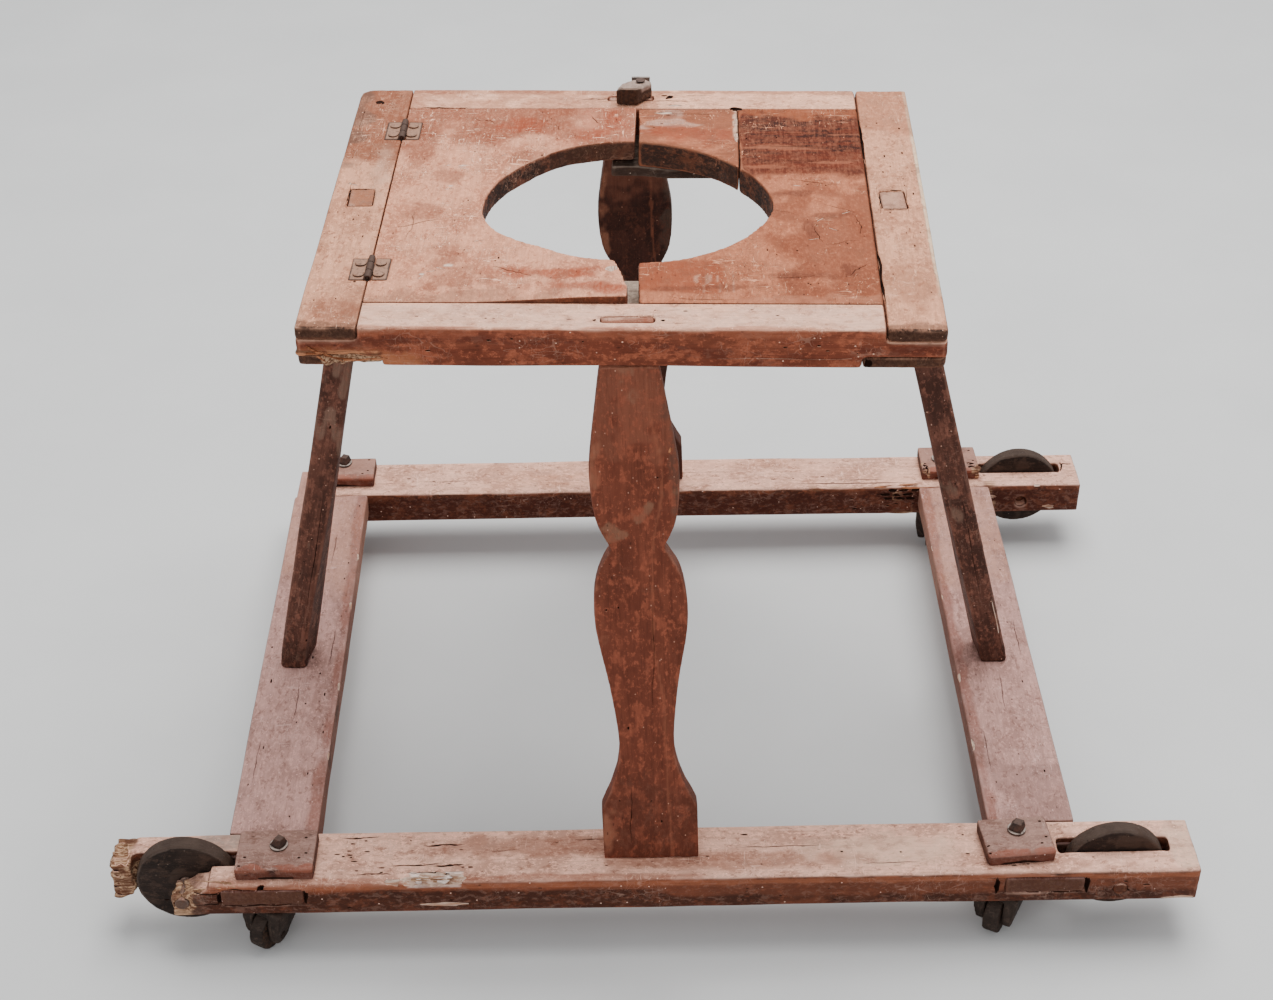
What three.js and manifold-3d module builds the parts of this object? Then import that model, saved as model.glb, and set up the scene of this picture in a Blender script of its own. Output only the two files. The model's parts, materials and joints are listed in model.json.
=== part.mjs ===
// An antique wooden walker for a small child. A base frame runs on four swivelling casters, with
// larger wheels in slots near the rail ends. Two shaped splats and two posts lean inwards from it
// and carry a tray with a round opening. The tray's left leaf swings up on two iron hinges to let
// the child in, and a turn button holds it shut.
// Millimetres, +Z up. The origin is on the ground, under the middle of the outline, and the
// front is at -Y.

import * as THREE from "three";
import { mergeVertices } from "three/addons/utils/BufferGeometryUtils.js";
import Module from "manifold-3d";

const wasm = await Module();
wasm.setup();

// ---- Driving dimensions ----
const GAP = 0.3; // clearance between neighbouring pieces
const PLAY = 0.4; // radial play of a turning piece
const ROUND = 24; // sides of a round piece
const BEYOND = 60; // how far a cutter runs past the faces it cuts

const BASE_LENGTH = 781; // the rails, left to right
const BASE_DEPTH = 526; // front face of the front rail to back face of the back rail
const DECK = 66; // top of the rails above the ground
const RAIL_HEIGHT = 29.5;
const FRONT_RAIL_DEPTH = 52.5;
const BACK_RAIL_DEPTH = 49;
const BACK_RAIL_LEFT_END = -294.5; // the rail is broken off beyond this
const BOARD_THICK = 20;
const BOARD_TENON_THICK = 13.5;
const BLOCK_THICK = 10;

const SLOT_WHEEL = { radius: 36, thick: 11.9, height: 47.6, axle: 5, slotWidth: 14.4 };
const CASTER = {
  radius: 15, thick: 11, trail: 24, axle: 2.5, axleLength: 24, wheelRoom: 1.3,
  forkWidth: 32, forkBack: 14, cheek: 8, crown: 25, // the crown's underside is this high
  pintle: 4, pintleBelow: 11, endHalf: 5, endRise: 6, rove: 6.8, roveThick: 1.4,
};

const SPLAT_THICK = 15;
const POST = { width: 21, depth: 28 };

const TRAY = {
  turn: -2.08, x: -12.1, y: 5.9, halfWidth: 208.8, halfDepth: 178.2, top: 469.8, thick: 28.4, corner: 14,
};
const STILE_INNER = { left: -168.8, right: 169.8 };
const TRAY_RAIL_INNER = { front: -144.6, back: 144.1 };
// The two leaves' facing edges, which part a little towards the front
const SEAM = { left: 3.2, rightBack: 5.3, rightFront: 11 };
const LEAF_THICK = { left: 16, right: 20.2 };
const LEDGE = 15; // the stiles' lower lips reach inwards under the leaves by this much
const LEAF_PATCH_EDGE = 79.5; // the break that parts the right leaf from its patch

// One butt hinge: a stile plate with the outer knuckles, a leaf plate with the middle one, and a
// pin. Its frame has the pin along Y at x = 0, and z = 0 on the tray's top.
const HINGE = {
  length: 29, reach: 13, plate: 1.8, proud: 0.2, knuckle: 2.5, middleHalf: 5, pinHeight: 0.9, pin: 1.05,
};
const HINGE_Y = { front: -101.5, back: 105.5 };

// The turn button's top slopes down towards the back. Heights are above the tray's top.
const BUTTON = { x: 6, y: 167, bottom: 1.5, top: 14, backTop: 9.5 };
const NAIL = { radius: 2.2, foot: -20, head: 4, headBottom: 12, headTop: 13.2 };
const STRAP = { x: [-1, 13], thick: 2, bottom: -18, top: 10 };

// ---- Places worked out from them ----
const HALF_LENGTH = BASE_LENGTH / 2;
const FRONT = -257; // front face of the front rail
const FRONT_INNER = FRONT + FRONT_RAIL_DEPTH;
const BACK = FRONT + BASE_DEPTH;
const BACK_INNER = BACK - BACK_RAIL_DEPTH;
const RAIL_BOTTOM = DECK - RAIL_HEIGHT;
const BOARD_BOTTOM = DECK - BOARD_THICK;
const TRAY_BOTTOM = TRAY.top - TRAY.thick;

const SIDE_BOARDS = {
  left: { inner: -244.5, outer: -309.5, tenonInner: -250.5 },
  right: { inner: 245.5, outer: 308.5, tenonInner: 251.5 },
};
const SLOT_WHEELS = {
  front_left: { x: -338.1, y: -229.4, slot: [-376.5, -299], axle: [FRONT, FRONT_INNER] },
  front_right: { x: 334.5, y: -229.4, slot: [291.5, 372.5], axle: [FRONT, FRONT_INNER] },
  back_right: { x: 338.5, y: 247.6, slot: [301.8, 375.2], axle: [BACK_INNER + 8, BACK] }, // blind
};
const CASTERS = {
  front_left: { x: -269, y: -228, heading: -120 },
  front_right: { x: 262, y: -224, heading: -120 },
  back_left: { x: -267.5, y: 255, heading: -115 },
  back_right: { x: 266.5, y: 248, heading: -100 },
};
const BLOCKS = {
  front_left: { x: -270.5, y: -232, width: 56, depth: 40, turn: 0 },
  front_right: { x: 261.5, y: -229.5, width: 50, depth: 38, turn: 5 },
  back_left: { x: -266.5, y: 248, width: 54, depth: 32, turn: 0 },
  back_right: { x: 275, y: 249, width: 51, depth: 38, turn: 0 },
};
const SPLATS = {
  front: { foot: new THREE.Vector3(-1.5, -229.5, DECK), head: new THREE.Vector3(-14, -159, TRAY.top) },
  back: { foot: new THREE.Vector3(2.2, 244, DECK), head: new THREE.Vector3(-7.5, 168, TRAY.top) },
};
const POSTS = {
  left: { foot: new THREE.Vector3(-282, -3, DECK), head: new THREE.Vector3(-198.9, 12.7, TRAY.top) },
  right: { foot: new THREE.Vector3(275.5, -9, DECK), head: new THREE.Vector3(173.6, -2.1, TRAY.top) },
};

// ---- Finishes ----
const finish = (color, roughness, metalness = 0) => () =>
  new THREE.MeshStandardMaterial({ color, roughness, metalness });
const darkWood = finish(0x72432d, 0.6);
const dustyWood = finish(0xb08572, 0.75);
const wheelWood = finish(0x4a3429, 0.7);
const iron = finish(0x6b574a, 0.65, 0.6);

// ---- Solids ----
function solidOf(geometry) {
  const bare = geometry.clone();
  bare.deleteAttribute("normal");
  bare.deleteAttribute("uv");
  const merged = mergeVertices(bare, 1e-4);
  const vertProperties = merged.attributes.position.array;
  const triVerts = new Uint32Array(merged.index.array);
  return new wasm.Manifold(new wasm.Mesh({ numProp: 3, vertProperties, triVerts }));
}

function geometryOf(solid) {
  const { vertProperties, triVerts } = solid.getMesh();
  const shared = new THREE.BufferGeometry();
  shared.setAttribute("position", new THREE.BufferAttribute(vertProperties, 3));
  shared.setIndex(new THREE.BufferAttribute(triVerts, 1));
  const faceted = shared.toNonIndexed();
  faceted.computeVertexNormals();
  return faceted;
}

const fold = (operation) => (first, ...others) =>
  geometryOf(others.reduce((sum, next) => sum[operation](solidOf(next)), solidOf(first)));
const cut = fold("subtract");
const join = fold("add");
const common = fold("intersect");

function box(x0, x1, y0, y1, z0, z1) {
  const block = new THREE.BoxGeometry(x1 - x0, y1 - y0, z1 - z0);
  return block.translate((x0 + x1) / 2, (y0 + y1) / 2, (z0 + z1) / 2);
}

// A round bar along Z at x, y, from z0 to z1
function barZ(radius, x, y, z0, z1, sides = ROUND) {
  const bar = new THREE.CylinderGeometry(radius, radius, z1 - z0, sides);
  return bar.rotateX(Math.PI / 2).translate(x, y, (z0 + z1) / 2);
}

// A round bar along Y at x, z, from y0 to y1, with one flat facing straight down
function barY(radius, x, z, y0, y1, sides = ROUND) {
  const bar = new THREE.CylinderGeometry(radius, radius, y1 - y0, sides);
  return bar.rotateY(Math.PI / sides).translate(x, (y0 + y1) / 2, z);
}

// An outline drawn from above, standing from z0 to z1
function prismZ(shape, z0, z1, curveSegments = 6) {
  const prism = new THREE.ExtrudeGeometry(shape, { depth: z1 - z0, bevelEnabled: false, curveSegments });
  return prism.translate(0, 0, z0);
}

// An outline drawn from the front as x, z, reaching from y0 to y1
function prismY(shape, y0, y1, curveSegments = 6) {
  const prism = new THREE.ExtrudeGeometry(shape, { depth: y1 - y0, bevelEnabled: false, curveSegments });
  return prism.rotateX(Math.PI / 2).translate(0, y1, 0);
}

function outline(points) {
  return new THREE.Shape(points.map(([x, y]) => new THREE.Vector2(x, y)));
}

function mesh(name, geometry, material, parent) {
  const piece = new THREE.Mesh(geometry, material());
  piece.name = name;
  parent.add(piece);
  return piece;
}

function groupAt(x, y, z, turn, parent) {
  const group = new THREE.Group();
  group.position.set(x, y, z);
  group.rotation.z = THREE.MathUtils.degToRad(turn);
  parent.add(group);
  group.updateMatrixWorld(true);
  return group;
}

// The same shape in a group's own frame
const within = (group, geometry) => geometry.clone().applyMatrix4(group.matrixWorld.clone().invert());

const walker = new THREE.Group();
const tray = groupAt(TRAY.x, TRAY.y, 0, TRAY.turn, walker);

// ---- Leaning struts: the splats and posts ----

// The frame of a strut: +Z runs up along it and +X stays level, across the walker
function leaning({ foot, head }) {
  const up = head.clone().sub(foot).normalize();
  const back = up.clone().cross(new THREE.Vector3(1, 0, 0)).normalize();
  const across = back.clone().cross(up);
  return new THREE.Matrix4().makeBasis(across, back, up).setPosition(foot);
}

const SIDEWAYS = BASE_LENGTH;
const slab = (z0, z1) => box(-SIDEWAYS, SIDEWAYS, -SIDEWAYS, SIDEWAYS, z0, z1);

// A plain bar in a strut's frame, long enough to be trimmed level at both ends
function strutBar(frame, width, depth) {
  const bar = box(-width / 2, width / 2, -depth / 2, depth / 2, -BEYOND, TRAY.top);
  return bar.applyMatrix4(frame);
}

// A strut stands between the deck and the tray with level shoulders, and has a tenon at each end.
// The sockets are the room that the tenons need, for their neighbours to be cut by.
function strut(line, body, tenon, footBottom) {
  const frame = leaning(line);
  const shoulders = common(body.clone().applyMatrix4(frame), slab(DECK + GAP, TRAY_BOTTOM - GAP));
  const tongue = common(strutBar(frame, tenon.width, tenon.depth), slab(footBottom, TRAY.top));
  const room = strutBar(frame, tenon.width + 2 * GAP, tenon.depth + 2 * GAP);
  const socket = common(room, slab(footBottom - GAP, TRAY.top + BEYOND));
  return { geometry: join(shoulders, tongue), socket };
}

// Half of the splat's outline, from the foot's corner to the top: a square foot with cut corners,
// a narrow neck, a long belly, a sharp waist and a second, shorter belly
function splatOutline() {
  const top = TRAY.top;
  const neckToWaist = [
    [21.8, 74], [19.2, 98], [24, 144], [31.2, 186], [31.4, 212], [27, 232], [17.7, 248.8],
  ];
  const waistToTop = [[26.9, 270], [29.8, 300], [27.5, 326], [18.6, 384]];
  const right = [...neckToWaist, ...waistToTop].map(([x, y]) => new THREE.Vector2(x, y));
  const left = right.map((p) => new THREE.Vector2(-p.x, p.y)).reverse();
  const waist = neckToWaist.length;
  const shape = new THREE.Shape();
  shape.moveTo(-34, -BEYOND);
  shape.lineTo(34, -BEYOND);
  shape.lineTo(34, 42);
  shape.lineTo(26.9, 58);
  shape.splineThru(right.slice(0, waist));
  shape.splineThru(right.slice(waist));
  shape.lineTo(18.6, top);
  shape.lineTo(-18.6, top);
  shape.lineTo(-18.6, 384);
  shape.splineThru(left.slice(1, left.length - waist + 1));
  shape.splineThru(left.slice(left.length - waist + 1));
  shape.lineTo(-26.9, 58);
  shape.lineTo(-34, 42);
  return shape;
}

const splatBody = prismY(splatOutline(), -SPLAT_THICK / 2, SPLAT_THICK / 2, 3);
const postBody = box(-POST.width / 2, POST.width / 2, -POST.depth / 2, POST.depth / 2, -BEYOND, TRAY.top);
const splatTenon = { width: 34, depth: 7.5 };
const postTenon = { width: 16.5, depth: 25.5 };
const splatFootBottom = RAIL_BOTTOM + 6; // blind mortises in the rails
const splats = {};
const posts = {};
const nailFoot = TRAY.top + NAIL.foot;
const nailRoom = barZ(NAIL.radius + GAP, BUTTON.x, BUTTON.y, nailFoot - GAP, TRAY.top + BEYOND, 16);
for (const [side, line] of Object.entries(SPLATS)) {
  splats[side] = strut(line, splatBody, splatTenon, splatFootBottom);
  const drilled = cut(splats[side].geometry, nailRoom.clone().applyMatrix4(tray.matrixWorld));
  mesh(`${side}_splat`, drilled, darkWood, walker);
}
for (const [side, line] of Object.entries(POSTS)) {
  posts[side] = strut(line, postBody, postTenon, BOARD_BOTTOM);
  mesh(`${side}_post`, posts[side].geometry, darkWood, walker);
}

// ---- Slot wheels and their wooden axles ----
const slotRoom = ({ y, slot }) => {
  const half = SLOT_WHEEL.slotWidth / 2;
  return box(...slot, y - half, y + half, RAIL_BOTTOM - BEYOND, DECK + BEYOND);
};
const axleRoom = ({ x, axle }) =>
  barY(SLOT_WHEEL.axle + GAP, x, SLOT_WHEEL.height, axle[0] - BEYOND, axle[1] + BEYOND);

for (const [corner, wheel] of Object.entries(SLOT_WHEELS)) {
  const [y0, y1] = [wheel.y - SLOT_WHEEL.thick / 2, wheel.y + SLOT_WHEEL.thick / 2];
  const disc = barY(SLOT_WHEEL.radius, wheel.x, SLOT_WHEEL.height, y0, y1, 2 * ROUND);
  const bore = barY(SLOT_WHEEL.axle + PLAY, wheel.x, SLOT_WHEEL.height, y0 - BEYOND, y1 + BEYOND);
  mesh(`${corner}_slot_wheel`, cut(disc, bore), wheelWood, walker);
  const axle = barY(SLOT_WHEEL.axle, wheel.x, SLOT_WHEEL.height, ...wheel.axle);
  mesh(`${corner}_slot_axle`, axle, darkWood, walker);
}

// ---- Casters ----

// The fork seen from the side: a head under the rail, and a cheek that drops round the axle
function forkSide() {
  const { radius, trail, cheek, crown, forkBack } = CASTER;
  const headTop = RAIL_BOTTOM - 1;
  const bevel = 4;
  const shape = new THREE.Shape();
  shape.moveTo(-forkBack, crown);
  shape.lineTo(trail / 2 - bevel, crown);
  shape.lineTo(trail - cheek, radius);
  shape.absarc(trail, radius, cheek, Math.PI, 2 * Math.PI);
  shape.lineTo(trail + cheek, headTop - 2 * bevel);
  shape.lineTo(trail + cheek - bevel, headTop);
  shape.lineTo(bevel - forkBack, headTop);
  shape.lineTo(-forkBack, headTop - bevel);
  return shape;
}

// The fork seen from behind: it narrows downwards from its crown
function forkTaper() {
  const { forkWidth, crown } = CASTER;
  const half = forkWidth / 2;
  const foot = half - 5;
  const points = [[-foot, 0], [foot, 0], [half, crown], [half, DECK], [-half, DECK], [-half, crown]];
  const taper = prismY(outline(points), -BEYOND, BEYOND);
  return taper.rotateZ(Math.PI / 2);
}

// In a caster's group the swivel axis is Z, and the wheel trails along +X
function addCaster(corner, place) {
  const { radius, thick, trail, axle, axleLength, wheelRoom, forkWidth, pintle } = CASTER;
  const half = thick / 2;
  const caster = groupAt(place.x, place.y, 0, place.heading, walker);

  const slotHalf = half + wheelRoom;
  const slotTop = 2 * radius + wheelRoom;
  const slot = box(trail - radius - wheelRoom, trail + BEYOND, -slotHalf, slotHalf, -BEYOND, slotTop);
  const pintleFoot = RAIL_BOTTOM - CASTER.pintleBelow;
  const fork = cut(
    common(prismY(forkSide(), -forkWidth / 2, forkWidth / 2), forkTaper()),
    slot,
    barZ(pintle + GAP, 0, 0, pintleFoot - BEYOND, DECK),
    barY(axle + GAP, trail, radius, -BEYOND, BEYOND, 16));
  mesh(`${corner}_caster_fork`, fork, wheelWood, caster);

  // The pintle's square upper end holds it on its rove
  const { endHalf, endRise, rove, roveThick } = CASTER;
  const roveBottom = DECK + BLOCK_THICK + 2 * GAP;
  const roveTop = roveBottom + roveThick;
  const endBottom = roveTop + GAP;
  const squareEnd = box(-endHalf, endHalf, -endHalf, endHalf, endBottom, endBottom + endRise);
  const shank = barZ(pintle, 0, 0, pintleFoot, endBottom + 1);
  mesh(`${corner}_caster_pintle`, join(shank, squareEnd), iron, caster);
  const ring = cut(barZ(rove, 0, 0, roveBottom, roveTop), barZ(pintle + PLAY, 0, 0, 0, BASE_DEPTH));
  mesh(`${corner}_rove`, ring, iron, caster);

  const wheelHeight = radius * Math.cos(Math.PI / ROUND); // the wheel stands on one flat
  const disc = barY(radius, trail, wheelHeight, -half, half);
  const bore = barY(axle + PLAY, trail, wheelHeight, -BEYOND, BEYOND, 16);
  mesh(`${corner}_caster_wheel`, cut(disc, bore), wheelWood, caster);
  const bar = barY(axle, trail, wheelHeight, -axleLength / 2, axleLength / 2, 16);
  mesh(`${corner}_caster_axle`, bar, iron, caster);
}

for (const [corner, place] of Object.entries(CASTERS)) addCaster(corner, place);

const pintleRoom = ({ x, y }) => barZ(CASTER.pintle + PLAY, x, y, RAIL_BOTTOM - BEYOND, DECK + BEYOND);

// ---- Base frame ----
const allSlots = Object.values(SLOT_WHEELS).map(slotRoom);
const allPintles = Object.values(CASTERS).map(pintleRoom);

// The side board's body lies between the rails. Its bare-faced tenons run through them.
function sideBoard({ inner, outer, tenonInner }, clearance) {
  const [x0, x1] = [Math.min(inner, outer), Math.max(inner, outer)];
  const [t0, t1] = [Math.min(tenonInner, outer), Math.max(tenonInner, outer)];
  const c = clearance;
  const body = box(x0, x1, FRONT_INNER + GAP, BACK_INNER - GAP, BOARD_BOTTOM, DECK);
  const tenonTop = BOARD_BOTTOM + BOARD_TENON_THICK;
  return join(body, box(t0 - c, t1 + c, FRONT - c, BACK + c, BOARD_BOTTOM - c, tenonTop + c));
}

const tenonRoom = Object.values(SIDE_BOARDS).map((board) => sideBoard(board, GAP));
for (const [side, board] of Object.entries(SIDE_BOARDS)) {
  const planed = cut(sideBoard(board, 0), ...allSlots, ...allPintles, posts[side].socket);
  mesh(`base_${side}_board`, planed, dustyWood, walker);
}

// The front cheek of the front rail is broken away round the left wheel, and so is the front of the
// rail's tip. The tear is drawn from the front, and reaches back as far as the slot's back face.
function brokenCheek() {
  const { y, slot } = SLOT_WHEELS.front_left;
  const slotBack = y + SLOT_WHEEL.slotWidth / 2;
  const [left, below, above] = [-HALF_LENGTH - BEYOND, RAIL_BOTTOM - BEYOND, DECK + BEYOND];
  const tear = outline([
    [slot[0], below], [-341, below], [-345, 43], [-344, 53], [-334, 55],
    [-327, 60], [-318, 61], [-316, above], [slot[0], above],
  ]);
  const tipFront = -236;
  const tip = box(left, slot[0] + GAP, FRONT - BEYOND, tipFront, below, above);
  return join(prismY(tear, FRONT - BEYOND, slotBack), tip);
}

const frontAxles = [axleRoom(SLOT_WHEELS.front_left), axleRoom(SLOT_WHEELS.front_right)];
const frontRail = cut(
  box(-HALF_LENGTH, HALF_LENGTH, FRONT, FRONT_INNER, RAIL_BOTTOM, DECK),
  ...tenonRoom, ...allSlots, ...allPintles, ...frontAxles, splats.front.socket, brokenCheek());
mesh("base_front_rail", frontRail, dustyWood, walker);

const backRail = cut(
  box(BACK_RAIL_LEFT_END, HALF_LENGTH, BACK_INNER, BACK, RAIL_BOTTOM, DECK),
  ...tenonRoom, ...allSlots, ...allPintles, axleRoom(SLOT_WHEELS.back_right), splats.back.socket);
mesh("base_back_rail", backRail, dustyWood, walker);

for (const [corner, { x, y, width, depth, turn }] of Object.entries(BLOCKS)) {
  const place = groupAt(x, y, DECK + GAP, turn, walker);
  const pad = cut(
    box(-width / 2, width / 2, -depth / 2, depth / 2, 0, BLOCK_THICK),
    within(place, pintleRoom(CASTERS[corner])));
  mesh(`${corner}_corner_block`, pad, darkWood, place);
}

// ---- Tray, in its own turned frame with its middle at the opening ----
const { halfWidth, halfDepth } = TRAY;
const TENON = { bottom: TRAY.top - LEAF_THICK.right, top: TRAY.top - 9 }; // the rails' bridle tenons
const STILE = { left: [-halfWidth, STILE_INNER.left], right: [STILE_INNER.right, halfWidth] };
const RAIL_Y = { front: [-halfDepth, TRAY_RAIL_INNER.front], back: [TRAY_RAIL_INNER.back, halfDepth] };

// The tray's outer edge, with its back left corner rounded off
function trayEdge() {
  const r = TRAY.corner;
  const shape = new THREE.Shape();
  shape.moveTo(-halfWidth, -halfDepth);
  shape.lineTo(halfWidth, -halfDepth);
  shape.lineTo(halfWidth, halfDepth);
  shape.lineTo(-halfWidth + r, halfDepth);
  shape.absarc(-halfWidth + r, halfDepth - r, r, Math.PI / 2, Math.PI);
  return prismZ(shape, TRAY_BOTTOM - BEYOND, TRAY.top + BEYOND, 8);
}

// The hand-sawn opening, a little fuller at the front than at the back
function openingRoom() {
  const rim = [
    [-99.7, -21], [-91, 27], [-51, 75], [-15, 88], [12, 88], [51, 73], [82, 44],
    [98, 13], [101, -18], [78, -60], [48, -82], [11, -91], [-20, -88], [-57, -70], [-86, -50],
  ];
  const curve = new THREE.CatmullRomCurve3(rim.map(([x, y]) => new THREE.Vector3(x, y, 0)), true);
  const ring = curve.getPoints(64).slice(0, -1).map((p) => [p.x, p.y]);
  return prismZ(outline(ring.reverse()), TRAY_BOTTOM - BEYOND, TRAY.top + BEYOND);
}

const edge = trayEdge();
const opening = openingRoom();
const inTray = (geometry) => within(tray, geometry);

// The left stile's lower lip has split away at the front: only its outer corner is whole there
const splitLip = prismZ(
  outline([
    [-194, -halfDepth - 5], [-140, -halfDepth - 5],
    [-140, -174], [-160, -173], [-172, -174.5], [-186, -175.5],
  ]),
  TRAY_BOTTOM - 5, TENON.bottom - GAP);

const HINGE_X = STILE_INNER.left + GAP / 2;

// A hinge plate with its own knuckles, cut away where the other plate's knuckles turn
function hingePlate(side) {
  const { length, reach, plate, proud, knuckle, middleHalf, pinHeight, pin } = HINGE;
  const half = length / 2;
  const isLeaf = side === "leaf";
  const flat = box(isLeaf ? 0 : -reach, isLeaf ? reach : 0, -half, half, proud - plate, proud);
  const knuckleBar = (y0, y1) => barY(knuckle, 0, pinHeight, y0, y1, 16);
  const innerEnd = middleHalf + GAP;
  const ownKnuckles = isLeaf
    ? [knuckleBar(-middleHalf, middleHalf)]
    : [knuckleBar(-half, -innerEnd), knuckleBar(innerEnd, half)];
  const room = knuckle + GAP;
  const turningRoom = (y0, y1) => box(-room, room, y0, y1, -room, room);
  const otherRoom = isLeaf
    ? [turningRoom(-half - 1, -middleHalf), turningRoom(middleHalf, half + 1)]
    : [turningRoom(-innerEnd, innerEnd)];
  const bore = barY(pin + GAP, 0, pinHeight, -half - 1, half + 1, 16);
  return cut(join(cut(flat, ...otherRoom), ...ownKnuckles), bore);
}

const hingeRoom = Object.values(HINGE_Y).map((y) => {
  const [reach, half] = [HINGE.reach + GAP, HINGE.length / 2 + GAP];
  const sunk = HINGE.proud - HINGE.plate - GAP;
  return box(HINGE_X - reach, HINGE_X + reach, y - half, y + half, TRAY.top + sunk, TRAY.top + BEYOND);
});

function addHinge(end, y) {
  const hinge = groupAt(HINGE_X, y, TRAY.top, 0, tray);
  for (const side of ["stile", "leaf"]) mesh(`${end}_hinge_${side}_plate`, hingePlate(side), iron, hinge);
  const half = HINGE.length / 2 - 0.5;
  mesh(`${end}_hinge_pin`, barY(HINGE.pin, 0, HINGE.pinHeight, -half, half, 12), iron, hinge);
}
for (const [end, y] of Object.entries(HINGE_Y)) addHinge(end, y);

// The turn button on the back rail, with a nail for its pivot and an iron strap behind it
function addTurnButton() {
  const points = [[-12, 148.5], [4, 148], [14.5, 163], [14, 170], [9, 175.5], [0, 174], [-8, 164]];
  const { x, y, bottom, top, backTop } = BUTTON;
  const [front, back] = [points[1][1], points[4][1]];
  const side = outline([[front, top], [back, backTop], [back, top + 1], [front, top + 1]]);
  const slope = prismY(side, -BEYOND, BEYOND).rotateZ(Math.PI / 2); // its length now runs along Y
  const blank = prismZ(outline(points), bottom, top);
  const bore = barZ(NAIL.radius + PLAY, x, y, -BEYOND, BEYOND, 16);
  mesh("turn_button", cut(blank, slope, bore).translate(0, 0, TRAY.top), wheelWood, tray);
  const shank = barZ(NAIL.radius, x, y, NAIL.foot, NAIL.headTop, 16);
  const head = barZ(NAIL.head, x, y, NAIL.headBottom, NAIL.headTop, 16);
  mesh("turn_button_nail", join(shank, head).translate(0, 0, TRAY.top), iron, tray);
  const strapFront = halfDepth + GAP;
  const strap = box(...STRAP.x, strapFront, strapFront + STRAP.thick, STRAP.bottom, STRAP.top);
  mesh("back_strap", strap.translate(0, 0, TRAY.top), iron, tray);
}
addTurnButton();

// A rail's body lies between the stiles and, lower down, between their ledges
function trayRail(end) {
  const [y0, y1] = RAIL_Y[end];
  const body = box(STILE.left[1] + GAP, STILE.right[0] - GAP, y0, y1, TENON.bottom, TRAY.top);
  const [ledgeLeft, ledgeRight] = [STILE.left[1] + LEDGE + GAP, STILE.right[0] - LEDGE - GAP];
  const lower = box(ledgeLeft, ledgeRight, y0, y1, TRAY_BOTTOM, TENON.top);
  const tenon = box(-halfWidth, halfWidth, y0, y1, TENON.bottom, TENON.top);
  return cut(common(join(body, lower, tenon), edge), inTray(splats[end].socket), nailRoom);
}

// A stile is an open fork at each end, and its lower lip is a ledge for the leaf's edge
function trayStile(side) {
  const [x0, x1] = STILE[side];
  const ledgeX = side === "left" ? [x0, x1 + LEDGE] : [x0 - LEDGE, x1];
  const upper = box(x0, x1, -halfDepth, halfDepth, TRAY_BOTTOM, TRAY.top);
  const ledge = box(...ledgeX, -halfDepth, halfDepth, TRAY_BOTTOM, TENON.bottom - GAP);
  const tenonRooms = Object.values(RAIL_Y).map(([y0, y1]) =>
    box(-halfWidth - 5, halfWidth + 5, y0 - GAP, y1 + GAP, TENON.bottom - GAP, TENON.top + GAP));
  const whole = common(join(upper, ledge), edge);
  return cut(whole, ...tenonRooms, inTray(posts[side].socket), ...hingeRoom, splitLip);
}

for (const end of ["front", "back"]) mesh(`tray_${end}_rail`, trayRail(end), dustyWood, tray);
for (const side of ["left", "right"]) mesh(`tray_${side}_stile`, trayStile(side), dustyWood, tray);

// ---- Leaves and the cleats nailed under the right one ----
const LEAF_Y = [TRAY_RAIL_INNER.front + GAP, TRAY_RAIL_INNER.back - GAP];

// The corner by the seam is chipped off at the front
const chipPlan = outline([
  [-8, -78], [-6.5, -90], [-1.5, -108], [2.4, -128], [BEYOND, -128], [BEYOND, -78],
]);
const chip = prismZ(chipPlan, TRAY_BOTTOM - BEYOND, TRAY.top + BEYOND);
const leftBlank = box(STILE.left[1] + GAP, SEAM.left, ...LEAF_Y, TRAY.top - LEAF_THICK.left, TRAY.top);
mesh("left_leaf", cut(leftBlank, opening, chip, ...hingeRoom), dustyWood, tray);

const rightBottom = TRAY.top - LEAF_THICK.right;
const rightEdge = STILE.right[0] - GAP;
const rightPlan = outline([
  [SEAM.rightFront, LEAF_Y[0]], [rightEdge, LEAF_Y[0]], [rightEdge, LEAF_Y[1]], [SEAM.rightBack, LEAF_Y[1]],
]);
const rightBlank = cut(prismZ(rightPlan, rightBottom, TRAY.top), opening);
const patchRoom = box(0, LEAF_PATCH_EDGE, 0, BEYOND + halfDepth, TRAY_BOTTOM, TRAY.top + BEYOND);
const patchCut = box(0, LEAF_PATCH_EDGE + GAP, 0, BEYOND + halfDepth, TRAY_BOTTOM, TRAY.top + BEYOND);
mesh("right_leaf", cut(rightBlank, patchCut), dustyWood, tray);
mesh("right_leaf_patch", common(rightBlank, patchRoom), dustyWood, tray);

const cleatTop = rightBottom - GAP;
mesh("front_cleat", box(-32, 140, LEAF_Y[0], -79, TRAY_BOTTOM, cleatTop), dustyWood, tray);
mesh("back_cleat", cut(box(-14, 150, 84, LEAF_Y[1], TRAY_BOTTOM, cleatTop), opening), dustyWood, tray);

export default walker;
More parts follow.
